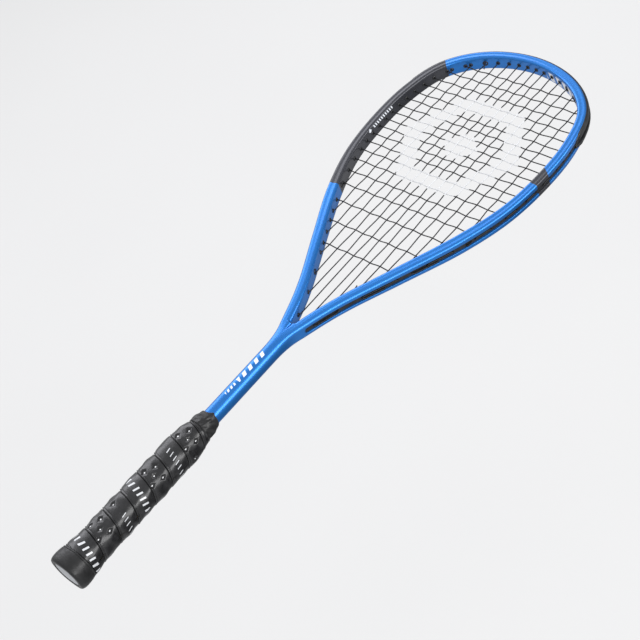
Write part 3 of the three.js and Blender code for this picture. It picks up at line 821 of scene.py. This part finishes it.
def trefoil(centre, size, count=60):
    t = np.linspace(0, 2 * math.pi, count)
    x = np.sin(t) + 2 * np.sin(2 * t)
    y = np.cos(t) - 2 * np.cos(2 * t)
    return np.asarray(centre) + size / 3 * np.stack([x, y, -np.sin(3 * t)], 1)


def make_string(name, route, knots):
    surface = Surface()
    path = rounded(route)
    rings = tube_rings(path, STRING_RADIUS)
    surface.grid(rings, caps=(True, True), stencil=stencil_value(rings))
    for centre, size in knots:
        loop = tube_rings(trefoil(centre, size), STRING_RADIUS * 0.85)
        surface.grid(loop, caps=(True, True), stencil=np.full(loop.shape[:2], UNMARKED))
    return surface.build(name)


# ---- handle ----

BAND_PITCH = 21.7  # of the tape's spiral, along the handle
SEAM_Y = 169.5  # where one seam crosses the handle's side at SEAM_TURN
SEAM_TURN = 140  # degrees round from +X towards +Z
TAPE_START_Y = 17.5
TAPE_END_Y = 170
SEAM_SHARES = [0, 0.008, 0.016, 0.024, 0.034, 0.046, 0.06, 0.075, 0.09, 0.105, 0.12, 0.14]
PIT_SIZE = 3.0  # half the diagonal of a perforation's dent
MEAN_RADIUS = 15.6  # of the handle, which turns an angle into a length on the tape
GRIP_COLUMNS = 301  # points in one turn of the tape
OVAL_SIDES = 160  # points round the butt cap and its plate
CUP_TOP_Y = 17.3
RIM_RADIUS = 2.6  # of the rounding at the butt

# Dents of one cluster in the tape: degrees round the handle, and share of the way across the band.
CLUSTER = [(82, 0.7), (95, 0.22), (62, 0.42), (33, 0.7), (42, 0.13)]
CLUSTER_BANDS = [(-1, 0), (-3, 0), (-6, 12), (-2, 175), (-4, 190), (-5, 170), (-7, 180)]
PITS = [(band, turn + shift, share) for band, shift in CLUSTER_BANDS for turn, share in CLUSTER]
PITS += [(-1, -12, 0.35), (-5, 100, 0.45)]

# White marks printed along a band: band, first and last degree round, height, thin or bold.
PRINTED = [(-7, 128, -40, 6.2, True), (-4, 122, -10, 6.2, True), (-5, 62, -40, 5.0, False)]
PRINTED += [(-2, 95, -30, 5.0, False), (-3, 285, 170, 6.2, True), (-6, 285, 190, 5.0, False)]


def handle_half(y):
    """Half-width and half-depth of the finished handle at a height."""
    stations, widths = zip(*HANDLE_OUTLINE)
    near = np.array(y, float)
    width = sum(np.interp(near + d, stations, widths) for d in (-2, 0, 2)) / 3
    blend = smoothstep(y, DEEPER_FROM_Y, COLLAR_END_Y)
    return width, width * lerp(HANDLE_DEPTH_RATIO, COLLAR_TOP_RATIO, blend)


def oval_points(turns, y, wide, deep, roundness=HANDLE_ROUNDNESS):
    """Points of an oval across the handle, at angles in radians."""
    x, z = oval(wide, deep, roundness, turns)
    return np.stack([x, np.broadcast_to(y, x.shape), z], -1)


def handle_points(turns, y, under):
    """Points of the handle's outline at angles in radians, at a depth under its surface."""
    width, depth = handle_half(y)
    return oval_points(turns, y, width - under, depth - under)


def soft_noise(seed, count=5):
    """A smooth function of two variables that wanders between about -1 and 1."""
    random = np.random.default_rng(seed)
    waves = random.normal(size=(count, 2))
    phases = random.uniform(0, 2 * math.pi, count)

    def value(u, v):
        terms = [np.sin(a * u + b * v + p) for (a, b), p in zip(waves, phases)]
        return sum(terms) / math.sqrt(count)

    return value


def tape_relief(share, turn, y):
    """How far the tape's surface lies under the handle's outline."""
    bulge = 0.55 * (1 - np.abs(2 * share - 1) ** 2.6)
    seam = 0.85 * np.exp(-((share / 0.018) ** 2)) + 0.85 * np.exp(-(((share - 1) / 0.012) ** 2))
    stitched_edge = 0.34 * np.exp(-(((share - 0.052) / 0.02) ** 2))
    second_line = 0.36 * np.exp(-(((share - 0.105) / 0.016) ** 2))
    wrinkle = 0.24 * soft_noise(5)(turn * 2.5, y * 0.35) + 0.2 * soft_noise(9)(turn * 5, y * 0.6)
    return 0.75 - bulge + seam - stitched_edge + second_line - wrinkle


def diamond_distance(across, along, size):
    """Distance inside a diamond, positive within, of two offsets in millimetres."""
    return size - (np.abs(across) * 0.9 + np.abs(along))


def length_past(turns, degrees, to_turns, to_degrees):
    """Length along the tape, which climbs one band in each turn, from one place to another."""
    return np.radians(degrees - to_degrees + 360 * (turns - to_turns)) * MEAN_RADIUS


def pit_inside(band, share, degrees):
    """Distance inside the tape's diamond dents, positive within."""
    best = np.full(share.shape, UNMARKED)
    for pit_band, turn, pit_share in PITS:
        across = (share - pit_share) * BAND_PITCH
        apart = length_past(band, degrees, pit_band, turn)
        best = np.maximum(best, diamond_distance(across, apart, PIT_SIZE))
    return best


def printed_inside(band, share, degrees):
    """Distance inside the printed bars: plain slanted strokes, not letters."""
    best = np.full(share.shape, UNMARKED)
    for mark_band, first, last, height, bold in PRINTED:
        across = (share - 0.52) * BAND_PITCH
        apart = length_past(band, degrees, mark_band, (first + last) / 2)
        limit = math.radians(first - last) / 2 * MEAN_RADIUS
        period, slant, stroke = (5.6, 0.35, 0.9) if bold else (4.8, -0.15, 0.42)
        wave = (apart + slant * across + period / 2) % period - period / 2
        inside = np.minimum(stroke - np.abs(wave), height / 2 - np.abs(across))
        best = np.maximum(best, np.minimum(inside, limit - np.abs(apart)))
    return best


def make_grip():
    """The wound tape: rows of points follow its seams, so each turn joins the next."""
    shares = np.array(SEAM_SHARES + list(np.linspace(0.17, 0.95, 30)) + [0.965, 0.976, 0.985, 0.993])
    lowest = math.floor((TAPE_START_Y - SEAM_Y) / BAND_PITCH) - 1
    degrees = np.linspace(0, 360, GRIP_COLUMNS)
    turns = np.radians(degrees)
    rows, relief, pits, marks = [], [], [], []
    for band in range(lowest, 2):
        for share in shares:
            y = SEAM_Y + BAND_PITCH * (band + share + (degrees - SEAM_TURN) / 360)
            y = np.clip(y, TAPE_START_Y, TAPE_END_Y)
            phase = (y - SEAM_Y) / BAND_PITCH - (degrees - SEAM_TURN) / 360
            at_band = np.floor(phase + 1e-9)
            at_share = np.clip(phase - at_band, 0, 1)
            pit = pit_inside(at_band, at_share, degrees)
            under = tape_relief(at_share, turns, y) + 1.1 * smoothstep(pit, -0.7, 1.7)
            under = under + 0.8 * smoothstep(y, TAPE_END_Y - 4, TAPE_END_Y)
            rows.append(handle_points(turns, y, under))
            pits.append(pit)
            marks.append(printed_inside(at_band, at_share, degrees))
            relief.append(under)
    surface = Surface()
    surface.grid(rows, closed=False, pit=np.array(pits), mark=np.array(marks), depth=np.array(relief))
    plain = np.full((2, GRIP_COLUMNS), UNMARKED)
    for y in (TAPE_START_Y, TAPE_END_Y):
        ends = [handle_points(turns, y, under) for under in (0.9, 1.9)]
        surface.grid(ends, closed=False, pit=plain, mark=plain)
    return surface.build("wound_grip", merge=0.02)


def make_cap():
    """The butt cap: a flared cup with a rounded rim and a recess for its plate."""
    profile = [(y, 0.0) for y in np.linspace(RIM_RADIUS, 14.6, 14)]
    profile += [(14.9, 0.12), (15.15, 0.42), (15.4, 0.42), (15.65, 0.1), (16.1, 0.02), (16.6, 0.05)]
    profile += [(16.95, 0.25), (CUP_TOP_Y, 0.7), (CUP_TOP_Y + 0.05, 1.6)]
    turns = turns_round(OVAL_SIDES)
    rings = [handle_points(turns, y, under) for y, under in profile]
    rim = []
    recess_width, recess_depth = END_PLATE_HALF_WIDTH + GAP, END_PLATE_HALF_DEPTH + GAP
    for t in np.linspace(0, 1, 9)[1:]:
        angle = t * math.pi / 2
        inset = RIM_RADIUS * (1 - math.cos(angle)) * 0.55
        rim.append(handle_points(turns, RIM_RADIUS * (1 - math.sin(angle)), inset))
    for inset, y in ((0.35, 0.0), (0.12, 0.08), (0.0, 0.3), (0.0, 1.6)):
        rim.append(oval_points(turns, y, recess_width + inset, recess_depth + inset))
    surface = Surface()
    surface.grid(rim[::-1] + rings)
    return surface.build("butt_cup")


def make_plate():
    """The end plate, slightly domed, with a raised border and a plain ring moulded in it."""
    turns = turns_round(OVAL_SIDES)
    stations = [(1.4, 1.0), (0.62, 1.0), (0.42, 0.985), (0.36, 0.96), (0.38, 0.93), (0.5, 0.915)]
    stations += [(0.52, 0.9), (0.5, 0.7), (0.5, 0.66), (0.4, 0.65), (0.4, 0.63), (0.5, 0.62)]
    stations += [(0.5, 0.4), (0.49, 0.2), (0.49, 0.02)]
    rings = []
    for y, share in stations:
        rings.append(oval_points(turns, y, END_PLATE_HALF_WIDTH * share, END_PLATE_HALF_DEPTH * share))
    surface = Surface()
    surface.grid(rings, caps=(True, True))
    return surface.build("butt_plate")


def make_collar_mesh():
    """The collar: stretched rubber that has shrunk into folds, with an uneven upper edge."""
    degrees = np.linspace(0, 360, 240, endpoint=False)
    turns = np.radians(degrees)
    folds, ripples = soft_noise(21, 7), soft_noise(33, 9)
    peak = 2.2 * np.exp(-(((degrees - 58) / 16) ** 2)) + 0.8 * np.sin(turns * 2 + 1)
    top = COLLAR_END_Y - 2.5 + peak
    foot = COLLAR_START_Y - 0.4 + 1.2 * np.cos(turns - math.radians(SEAM_TURN))
    rows = []
    for t in np.linspace(0, 1, 70):
        y = lerp(foot, top, t)
        relief = 0.38 * folds(np.cos(turns) * 5 + y * 0.1, np.sin(turns) * 5 + y * 0.35)
        relief += 0.2 * ripples(np.cos(turns) * 9, np.sin(turns) * 9 + y * 0.9)
        under = 0.35 - relief * math.sin(math.pi * min(1, t * 1.1 + 0.12)) ** 0.5
        under += 0.8 * np.exp(-((t / 0.03) ** 2)) + 0.35 * np.exp(-(((1 - t) / 0.03) ** 2))
        limit = handle_half(y)[0] - (SHAFT_HALF_WIDTH + 0.25)
        rows.append(handle_points(turns, y, np.minimum(under, limit)))
    inner = (SHAFT_HALF_WIDTH - 0.2, SHAFT_HALF_DEPTH - 0.2, SHAFT_ROUNDNESS)
    rows.append(oval_points(turns, rows[-1][:, 1], *inner))
    surface = Surface()
    surface.grid([handle_points(turns, rows[0][:, 1], 2.6), *rows])
    return surface.build("end_collar")


# ---- materials ----


class Finish:
    """A material's nodes, with short ways to add and join them."""

    def __init__(self, name, **constants):
        self.material = bpy.data.materials.new(name)
        self.material.use_nodes = True
        self.nodes = self.material.node_tree.nodes
        self.links = self.material.node_tree.links
        self.shader = self.nodes["Principled BSDF"]
        for socket, value in constants.items():
            self.shader.inputs[socket.replace("_", " ")].default_value = value

    def node(self, kind, inputs=(), **settings):
        made = self.nodes.new(kind)
        for key, value in settings.items():
            setattr(made, key, value)
        for socket, value in dict(inputs).items():
            self.put(made.inputs[socket], value)
        return made

    def put(self, socket, value):
        if isinstance(value, bpy.types.NodeSocket):
            self.links.new(value, socket)
        else:
            socket.default_value = value

    def math(self, operation, *values):
        made = self.node("ShaderNodeMath", operation=operation)
        for socket, value in zip(made.inputs, values):
            self.put(socket, value)
        return made.outputs[0]

    def product(self, first, *others):
        for value in others:
            first = self.math("MULTIPLY", first, value)
        return first

    def attribute(self, name):
        return self.node("ShaderNodeAttribute", attribute_name=name).outputs["Fac"]

    def place(self):
        """The point's place on the piece in metres: as one vector, and as X, Y and Z."""
        where = self.node("ShaderNodeTexCoord").outputs["Object"]
        return where, self.node("ShaderNodeSeparateXYZ", {"Vector": where}).outputs

    def between(self, value, low, high, out_low=0.0, out_high=1.0):
        """Smoothly from out_low to out_high as the value rises from low to high."""
        inputs = {"Value": value, "From Min": low, "From Max": high}
        inputs |= {"To Min": out_low, "To Max": out_high}
        made = self.node("ShaderNodeMapRange", inputs, interpolation_type="SMOOTHSTEP")
        return made.outputs["Result"]

    def noise(self, scale, detail):
        inputs = {"Scale": scale, "Detail": detail, "Roughness": 0.55, "Vector": self.place()[0]}
        return self.node("ShaderNodeTexNoise", inputs).outputs["Fac"]

    def mottle(self, scale, detail, low=0.0, high=1.0):
        """Soft blotches that run from low to high."""
        return self.between(self.noise(scale, detail), 0.3, 0.7, low, high)

    def cells(self, scale):
        return self.node("ShaderNodeTexVoronoi", {"Scale": scale, "Vector": self.place()[0]})

    def mix(self, factor, a, b):
        """Colour a where the factor is 0 and b where it is 1."""
        made = self.node("ShaderNodeMix", data_type="RGBA")
        sockets = [s for s in made.inputs if s.type == "RGBA"]
        self.put(made.inputs["Factor"], factor)
        self.put(sockets[0], a)
        self.put(sockets[1], b)
        return next(s for s in made.outputs if s.type == "RGBA")

    def bump(self, height, strength, distance, normal=None):
        inputs = {"Height": height, "Strength": strength, "Distance": distance}
        if normal:
            inputs["Normal"] = normal
        return self.node("ShaderNodeBump", inputs).outputs["Normal"]

    def grain(self, scale, detail, *bump):
        return self.bump(self.noise(scale, detail), *bump)

    def drive(self, **values):
        for socket, value in values.items():
            self.put(self.shader.inputs[socket.replace("_", " ")], value)
        return self.material


def rgb(red, green, blue):
    """A screen colour, 0 to 255, as a linear colour with full alpha."""
    return (*[((v / 255 + 0.055) / 1.055) ** 2.4 if v > 10 else v / 3294 for v in (red, green, blue)], 1)


LEFT_BAND_Y = (455, 640)  # the ends of the carbon-grey bands on the hoop
RIGHT_BAND_Y = (535.3, 554.7)
BAND_SOFT = 0.12  # millimetres over which the edge of a band fades
MARK_SOFT = 0.0001  # metres, for a printed mark

# Rows of blocks on the shaft, in metres: spacing, and where they start and stop in Y and in X.
SHAFT_ROWS = [(0.0082, (0.2245, 0.262), (-0.0018, 0.0029)), (0.0042, (0.208, 0.221), (-0.001, 0.0018))]


def window(finish, value, low, high, soft):
    """1 where the value lies between low and high, with soft edges."""
    rise = finish.between(value, low - soft, low + soft)
    fall = finish.between(value, high - soft, high + soft, 1.0, 0.0)
    return finish.math("MULTIPLY", rise, fall)


def slanted_bars(finish, value, across, period, share, slant):
    """Stripes across a value, each a share of the period wide, slanted over another value."""
    shifted = finish.math("MULTIPLY_ADD", across, slant, value)
    turn = finish.math("FRACT", finish.math("DIVIDE", shifted, period))
    return window(finish, turn, (1 - share) / 2, (1 + share) / 2, 0.04)


def shaft_marks(look, x, y, z):
    """Plain white slanted blocks on the shaft, large and then small."""
    rows = []
    for period, high, wide in SHAFT_ROWS:
        area = (window(look, y, *high, MARK_SOFT), window(look, x, *wide, MARK_SOFT))
        rows.append(look.product(slanted_bars(look, y, x, period, 0.5, 0.5), *area))
    return look.product(look.math("MAXIMUM", *rows), look.between(z, 0.0, 0.001))


def band_marks(look, along, outward, z, top):
    """Fine bars and a small diamond on the left carbon band: along it in mm, and z in metres."""
    bars = slanted_bars(look, along, z, 3.3, 0.5, 400)
    lengthways = window(look, along, top - 108, top - 76, BAND_SOFT)
    bars = look.product(bars, lengthways, window(look, z, 0.0032, 0.0066, MARK_SOFT))
    past = look.math("ABSOLUTE", look.math("SUBTRACT", along, top - 114))
    rise = look.math("ABSOLUTE", look.math("SUBTRACT", z, 0.0049))
    diamond = look.between(look.math("MULTIPLY_ADD", rise, 1000, past), 2.2, 2.5, 1.0, 0.0)
    both = look.math("MAXIMUM", bars, diamond)
    return look.product(both, look.between(outward, -2.8, -2.4, 1.0, 0.0))


def wall_marks(look, along, outward, z):
    """Pale blocks on the inner wall at the upper right: along it in mm, and z in metres."""
    blocks = slanted_bars(look, along, z, 11.0, 0.6, 300)
    area = (window(look, along, 20, 80, 0.2), window(look, z, -0.0055, 0.004, MARK_SOFT))
    return look.product(blocks, *area, look.between(outward, -4.5, -4.3, 1.0, 0.0))


def paint_finish():
    """Metallic blue lacquer over fine flake, with bands of dark carbon and plain white marks."""
    look = Finish("metallic_paint", Coat_Weight=0.35, Coat_Roughness=0.12, Specular_IOR_Level=0.4)
    x, y, z = look.place()[1]
    along, outward = look.attribute("along"), look.attribute("outward")
    left_low, left_high = (hoop.at_height(y, -1) for y in LEFT_BAND_Y)
    right_low, right_high = (hoop.at_height(y, 1) for y in RIGHT_BAND_Y)
    slanted = look.math("MULTIPLY_ADD", outward, -0.17, along)
    left_band = window(look, slanted, left_low, left_high, BAND_SOFT)
    slanted = look.math("MULTIPLY_ADD", outward, -0.65, along)
    past_top = look.between(slanted, right_high - BAND_SOFT, right_high + BAND_SOFT)
    before_foot = look.between(along, right_low - BAND_SOFT, right_low + BAND_SOFT, 1.0, 0.0)
    band = look.math("MAXIMUM", left_band, look.product(past_top, before_foot))

    flake = look.cells(5200).outputs["Color"]
    flake = look.node("ShaderNodeSeparateColor", {"Color": flake}).outputs[0]
    blue = look.mix(look.between(flake, 0.1, 0.9), rgb(36, 118, 200), rgb(44, 128, 210))
    blue = look.mix(look.mottle(60, 2, 0.0, 0.35), blue, rgb(46, 116, 202))
    carbon = look.mix(look.between(flake, 0.2, 0.8), rgb(52, 53, 58), rgb(68, 69, 75))
    colour = look.mix(band, blue, carbon)

    printed = shaft_marks(look, x, y, z)
    printed = look.math("MAXIMUM", printed, band_marks(look, along, outward, z, left_high))
    printed = look.math("MAXIMUM", printed, wall_marks(look, along, outward, z))
    colour = look.mix(printed, colour, rgb(232, 236, 242))

    metal = look.math("SUBTRACT", 0.75, look.product(band, 0.3))
    metal = look.product(metal, look.math("SUBTRACT", 1.0, printed))
    rough, grain = look.mottle(900, 2, 0.32, 0.38), look.grain(4200, 2, 0.02, 0.00005)
    return look.drive(Base_Color=colour, Metallic=metal, Roughness=rough, Normal=grain)


def nylon_finish():
    """Moulded black nylon: a satin surface with a faint grain."""
    look = Finish("moulded_nylon", Specular_IOR_Level=0.5)
    tone = look.between(look.noise(160, 3), 0.35, 0.65)
    colour = look.mix(tone, rgb(20, 21, 23), rgb(34, 35, 38))
    rough, grain = look.mottle(500, 3, 0.32, 0.5), look.grain(3000, 2, 0.1, 0.0001)
    return look.drive(Base_Color=colour, Roughness=rough, Normal=grain)


def string_finish():
    """Black coated string with fine wrapping, and white stencil ink on part of the bed."""
    look = Finish("stencilled_string", Specular_IOR_Level=0.5)
    inked = look.between(look.attribute("stencil"), -0.5, 0.5)
    patchy = look.between(look.noise(700, 3), 0.25, 0.5)
    inked = look.product(inked, look.math("MULTIPLY_ADD", patchy, 0.2, 0.8))
    black = look.mix(look.noise(1500, 2), rgb(10, 10, 12), rgb(22, 22, 24))
    colour = look.mix(inked, black, rgb(208, 209, 211))
    rough, wrap = look.mottle(1200, 2, 0.35, 0.5), look.grain(2600, 2, 0.25, 0.0001)
    return look.drive(Base_Color=colour, Roughness=rough, Normal=wrap)


def tape_finish():
    """Soft tacky polyurethane tape with pressed dents and white printed strokes, with painted shade in its
    seams and dents and a painted white glint in each dent.
    """
    look = Finish("grip_polyurethane", Specular_IOR_Level=0.55, Coat_Weight=0.3, Coat_Roughness=0.2)
    pit, mark, depth = (look.attribute(name) for name in ("pit", "mark", "depth"))
    colour = look.mix(look.mottle(220, 4), rgb(15, 15, 17), rgb(27, 27, 29))
    # painted shade: the tape darkens to near black where it lies deeper, in its seams, its dents and at its
    # upper end under the collar
    colour = look.mix(look.between(depth, 0.3, 1.3), colour, rgb(12, 12, 13))
    # painted shade: the middle of each dent is filled near black
    colour = look.mix(look.between(pit, 0.0, 0.5), colour, rgb(5, 5, 6))
    # painted highlight: a white glint in the middle of each dent, for the light caught on its far wall
    colour = look.mix(look.between(pit, 2.1, 2.3), colour, rgb(235, 236, 238))
    colour = look.mix(look.between(mark, -0.08, 0.12), colour, rgb(206, 208, 211))
    rough, grain = look.mottle(400, 3, 0.26, 0.4), look.grain(1900, 4, 0.25, 0.00015)
    dimples = look.grain(260, 2, 0.25, 0.0006, grain)
    return look.drive(Base_Color=colour, Roughness=rough, Normal=dimples)


def rubber_finish(name, dark, light, rough):
    """Black rubber with mottled gloss and a fine grain."""
    look = Finish(name, Specular_IOR_Level=0.5)
    colour = look.mix(look.mottle(180, 4), dark, light)
    roughness = look.mottle(350, 3, rough - 0.07, rough + 0.07)
    grain = look.grain(2400, 3, 0.2, 0.0001, look.grain(300, 3, 0.2, 0.0005))
    return look.drive(Base_Color=colour, Roughness=roughness, Normal=grain)


def plate_finish():
    """Light grey moulded plastic."""
    look = Finish("plate_plastic", Specular_IOR_Level=0.5)
    colour = look.mix(look.mottle(150, 3), rgb(176, 178, 182), rgb(192, 194, 198))
    rough, grain = look.mottle(500, 2, 0.32, 0.42), look.grain(2500, 2, 0.1, 0.0001)
    return look.drive(Base_Color=colour, Roughness=rough, Normal=grain)


def foam_finish(name, dark, light):
    """Open-celled foam, for the hidden core pieces."""
    look = Finish(name, Roughness=0.9)
    cells = look.cells(900).outputs["Distance"]
    colour = look.mix(look.between(cells, 0.0, 0.6), dark, light)
    return look.drive(Base_Color=colour, Normal=look.bump(cells, 0.5, 0.0003))


def steel_finish():
    look = Finish("staple_wire", Metallic=1.0)
    colour = look.mix(look.noise(900, 3), rgb(168, 172, 176), rgb(198, 200, 204))
    return look.drive(Base_Color=colour, Roughness=look.mottle(1500, 2, 0.22, 0.4))


# ---- assembly ----


def fit(piece, material, slot, *nodes):
    """Finishes a visual piece: its material, its body and the CAD nodes it stands for, which are hidden.
    The slot is not used.
    """
    piece.data.materials.append(material)
    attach(piece, "root")
    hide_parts(*nodes)


def repaint(material, *nodes):
    """Gives CAD nodes that stay in the scene a better material."""
    for node in nodes:
        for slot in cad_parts[node].material_slots:
            slot.material = material


nylon = nylon_finish()
fit(make_frame_surface().build("painted_frame", merge=0.004), paint_finish(), "frame_paint", "frame")

bumper_start = hoop.at_height(BUMPER_END_Y, -1)
bumper_stop = hoop.at_height(BUMPER_END_Y, 1)
strip_start = hoop.at_height(GROOVE_END_Y, -1) + GAP
strip_stop = hoop.at_height(GROOVE_END_Y, 1) - GAP
strips = [
    ("bumper_guard", bumper_section, bumper_start, bumper_stop, "head_bumper_guard"),
    ("left_eyelet_strip", strip_section, strip_start, bumper_start - GAP, "left_grommet_strip"),
    ("right_eyelet_strip", strip_section, bumper_stop + GAP, strip_stop, "right_grommet_strip"),
]
for name, section, start, stop, node in strips:
    slot = "bumper_nylon" if section is bumper_section else "grommet_nylon"
    fit(make_strip(name, section, start, stop), nylon, slot, node)

string_look = string_finish()
main_ends = (main_bottoms[0] - KNOT_RUN, main_bottoms[-1] + KNOT_RUN)
stoppers = [(outer_end(length, -LANE), 1.0) for length in main_ends]
fit(make_string("main_strings", main_route(), stoppers), string_look, "string", "main_string")
crosses_path, start_knot, end_knot = cross_route()
tie_knots = [(start_knot, 1.25), (end_knot, 1.25)]
fit(make_string("cross_strings", crosses_path, tie_knots), string_look, "string", "cross_string")

rubber = rubber_finish("cap_and_collar_rubber", rgb(18, 18, 19), rgb(26, 26, 27), 0.42)
fit(make_grip(), tape_finish(), "grip_tape", "grip_tape")
fit(make_cap(), rubber, "cap_rubber", "butt_cap")
fit(make_plate(), plate_finish(), "end_plate", "butt_end_plate")
fit(make_collar_mesh(), rubber, "collar_rubber", "finishing_collar")

pallet_foam = foam_finish("handle_foam", rgb(168, 150, 116), rgb(196, 180, 146))
damper_foam = foam_finish("damping_foam", rgb(196, 190, 176), rgb(224, 220, 208))
repaint(pallet_foam, "front_handle_pallet", "rear_handle_pallet")
repaint(damper_foam, "left_shoulder_damper", "right_shoulder_damper", "shaft_end_plug")
repaint(steel_finish(), "front_butt_cap_staple", "rear_butt_cap_staple", "grip_start_staple")


# ---- camera, lights and floor ----


def facing(location, target):
    """A matrix at the location that looks at the target along its own -Z, with +Y upwards."""
    back = (Vector(location) - Vector(target)).normalized()
    right = Vector((0, 1, 0)).cross(back).normalized()
    over = back.cross(right)
    turn = Matrix((right, over, back)).transposed()
    return Matrix.Translation(location) @ turn.to_4x4()


def add_camera():
    data = bpy.data.cameras.new("photo_camera")
    data.lens = 86.5
    data.sensor_width = 36
    data.clip_start = 0.05
    data.clip_end = 100
    camera = add_object("photo_camera", data)
    right = Vector((0.7221, 0.6291, -0.2878))
    up = Vector((-0.3464, 0.6889, 0.6367))
    back = Vector((0.5988, -0.3601, 0.7154))
    turn = Matrix((right, up, back)).transposed()
    camera.matrix_world = Matrix.Translation((0.8500, -0.1830, 0.9955)) @ turn.to_4x4()
    bpy.context.scene.camera = camera


def add_softbox(name, direction, distance, size, power, tint=(1, 1, 1)):
    """A rectangular soft light that points at the middle of the racket."""
    target = Vector((0, 0.36, 0))
    data = bpy.data.lights.new(name, "AREA")
    data.shape = "RECTANGLE"
    data.size, data.size_y = size
    data.energy = power
    data.color = tint
    light = add_object(name, data)
    light.matrix_world = facing(target + Vector(direction).normalized() * distance, target)


def add_floor():
    """A wide pale floor well below the racket. It glows, but neither lights nor shows in the racket."""
    mesh = bpy.data.meshes.new("studio_floor")
    reach, height = 12.0, -0.9
    corners = [(-reach, -reach), (reach, -reach), (reach, reach), (-reach, reach)]
    mesh.from_pydata([(x, y, height) for x, y in corners], [], [(0, 1, 2, 3)])
    floor = add_object("studio_floor", mesh)
    floor.visible_diffuse = False
    floor.visible_glossy = False
    look = Finish("floor_paper", Roughness=0.95, Specular_IOR_Level=0.1, Emission_Strength=0.44)
    colour = look.mix(look.mottle(3, 2), rgb(149, 149, 149), rgb(150, 150, 150))
    mesh.materials.append(look.drive(Base_Color=colour))


def add_overhead(strength):
    """Even light from straight above that stays out of the racket's gloss."""
    data = bpy.data.lights.new("overhead_light", "SUN")
    data.energy = strength
    data.angle = math.radians(50)
    light = add_object("overhead_light", data)
    light.visible_glossy = False


# The world's brightness by direction: 0 is away from WORLD_AXIS and 1 is towards it.
WORLD_AXIS = (-0.35, -0.85, 0.4)
WORLD_STOPS = [(0.0, 0.65), (0.045, 0.55), (0.09, 0.05), (0.12, 0.06), (0.28, 0.65), (0.58, 0.6)]
WORLD_STOPS += [(0.66, 0.75), (1.0, 0.6)]


def add_world():
    """Soft light all round, with a dark ring near one side for the racket's gloss to catch."""
    world = bpy.data.worlds.new("studio")
    bpy.context.scene.world = world
    world.use_nodes = True
    nodes, links = world.node_tree.nodes, world.node_tree.links
    where = nodes.new("ShaderNodeTexCoord")
    toward = nodes.new("ShaderNodeVectorMath")
    toward.operation = "DOT_PRODUCT"
    toward.inputs[1].default_value = Vector(WORLD_AXIS).normalized()
    shift = nodes.new("ShaderNodeMapRange")
    shift.inputs["From Min"].default_value = -1
    shift.inputs["From Max"].default_value = 1
    ramp = nodes.new("ShaderNodeValToRGB")
    stops = ramp.color_ramp.elements
    for place, level in WORLD_STOPS:
        stop = stops[0] if place == 0.0 else stops[-1] if place == 1.0 else stops.new(place)
        stop.position = place
        stop.color = (level * 0.97, level * 0.98, level, 1)
    links.new(where.outputs["Generated"], toward.inputs[0])
    links.new(toward.outputs["Value"], shift.inputs["Value"])
    links.new(shift.outputs["Result"], ramp.inputs["Fac"])
    links.new(ramp.outputs["Color"], nodes["Background"].inputs["Color"])


add_camera()
add_floor()
add_world()
add_overhead(1.0)
add_softbox("right_softbox", (0.86, 0.12, 0.45), 2.0, (0.9, 3.8), 46)
add_softbox("left_softbox", (-0.85, 0.34, 0.45), 2.2, (1.2, 2.8), 26, (0.94, 0.94, 1.0))
bpy.context.scene.view_settings.view_transform = "Standard"
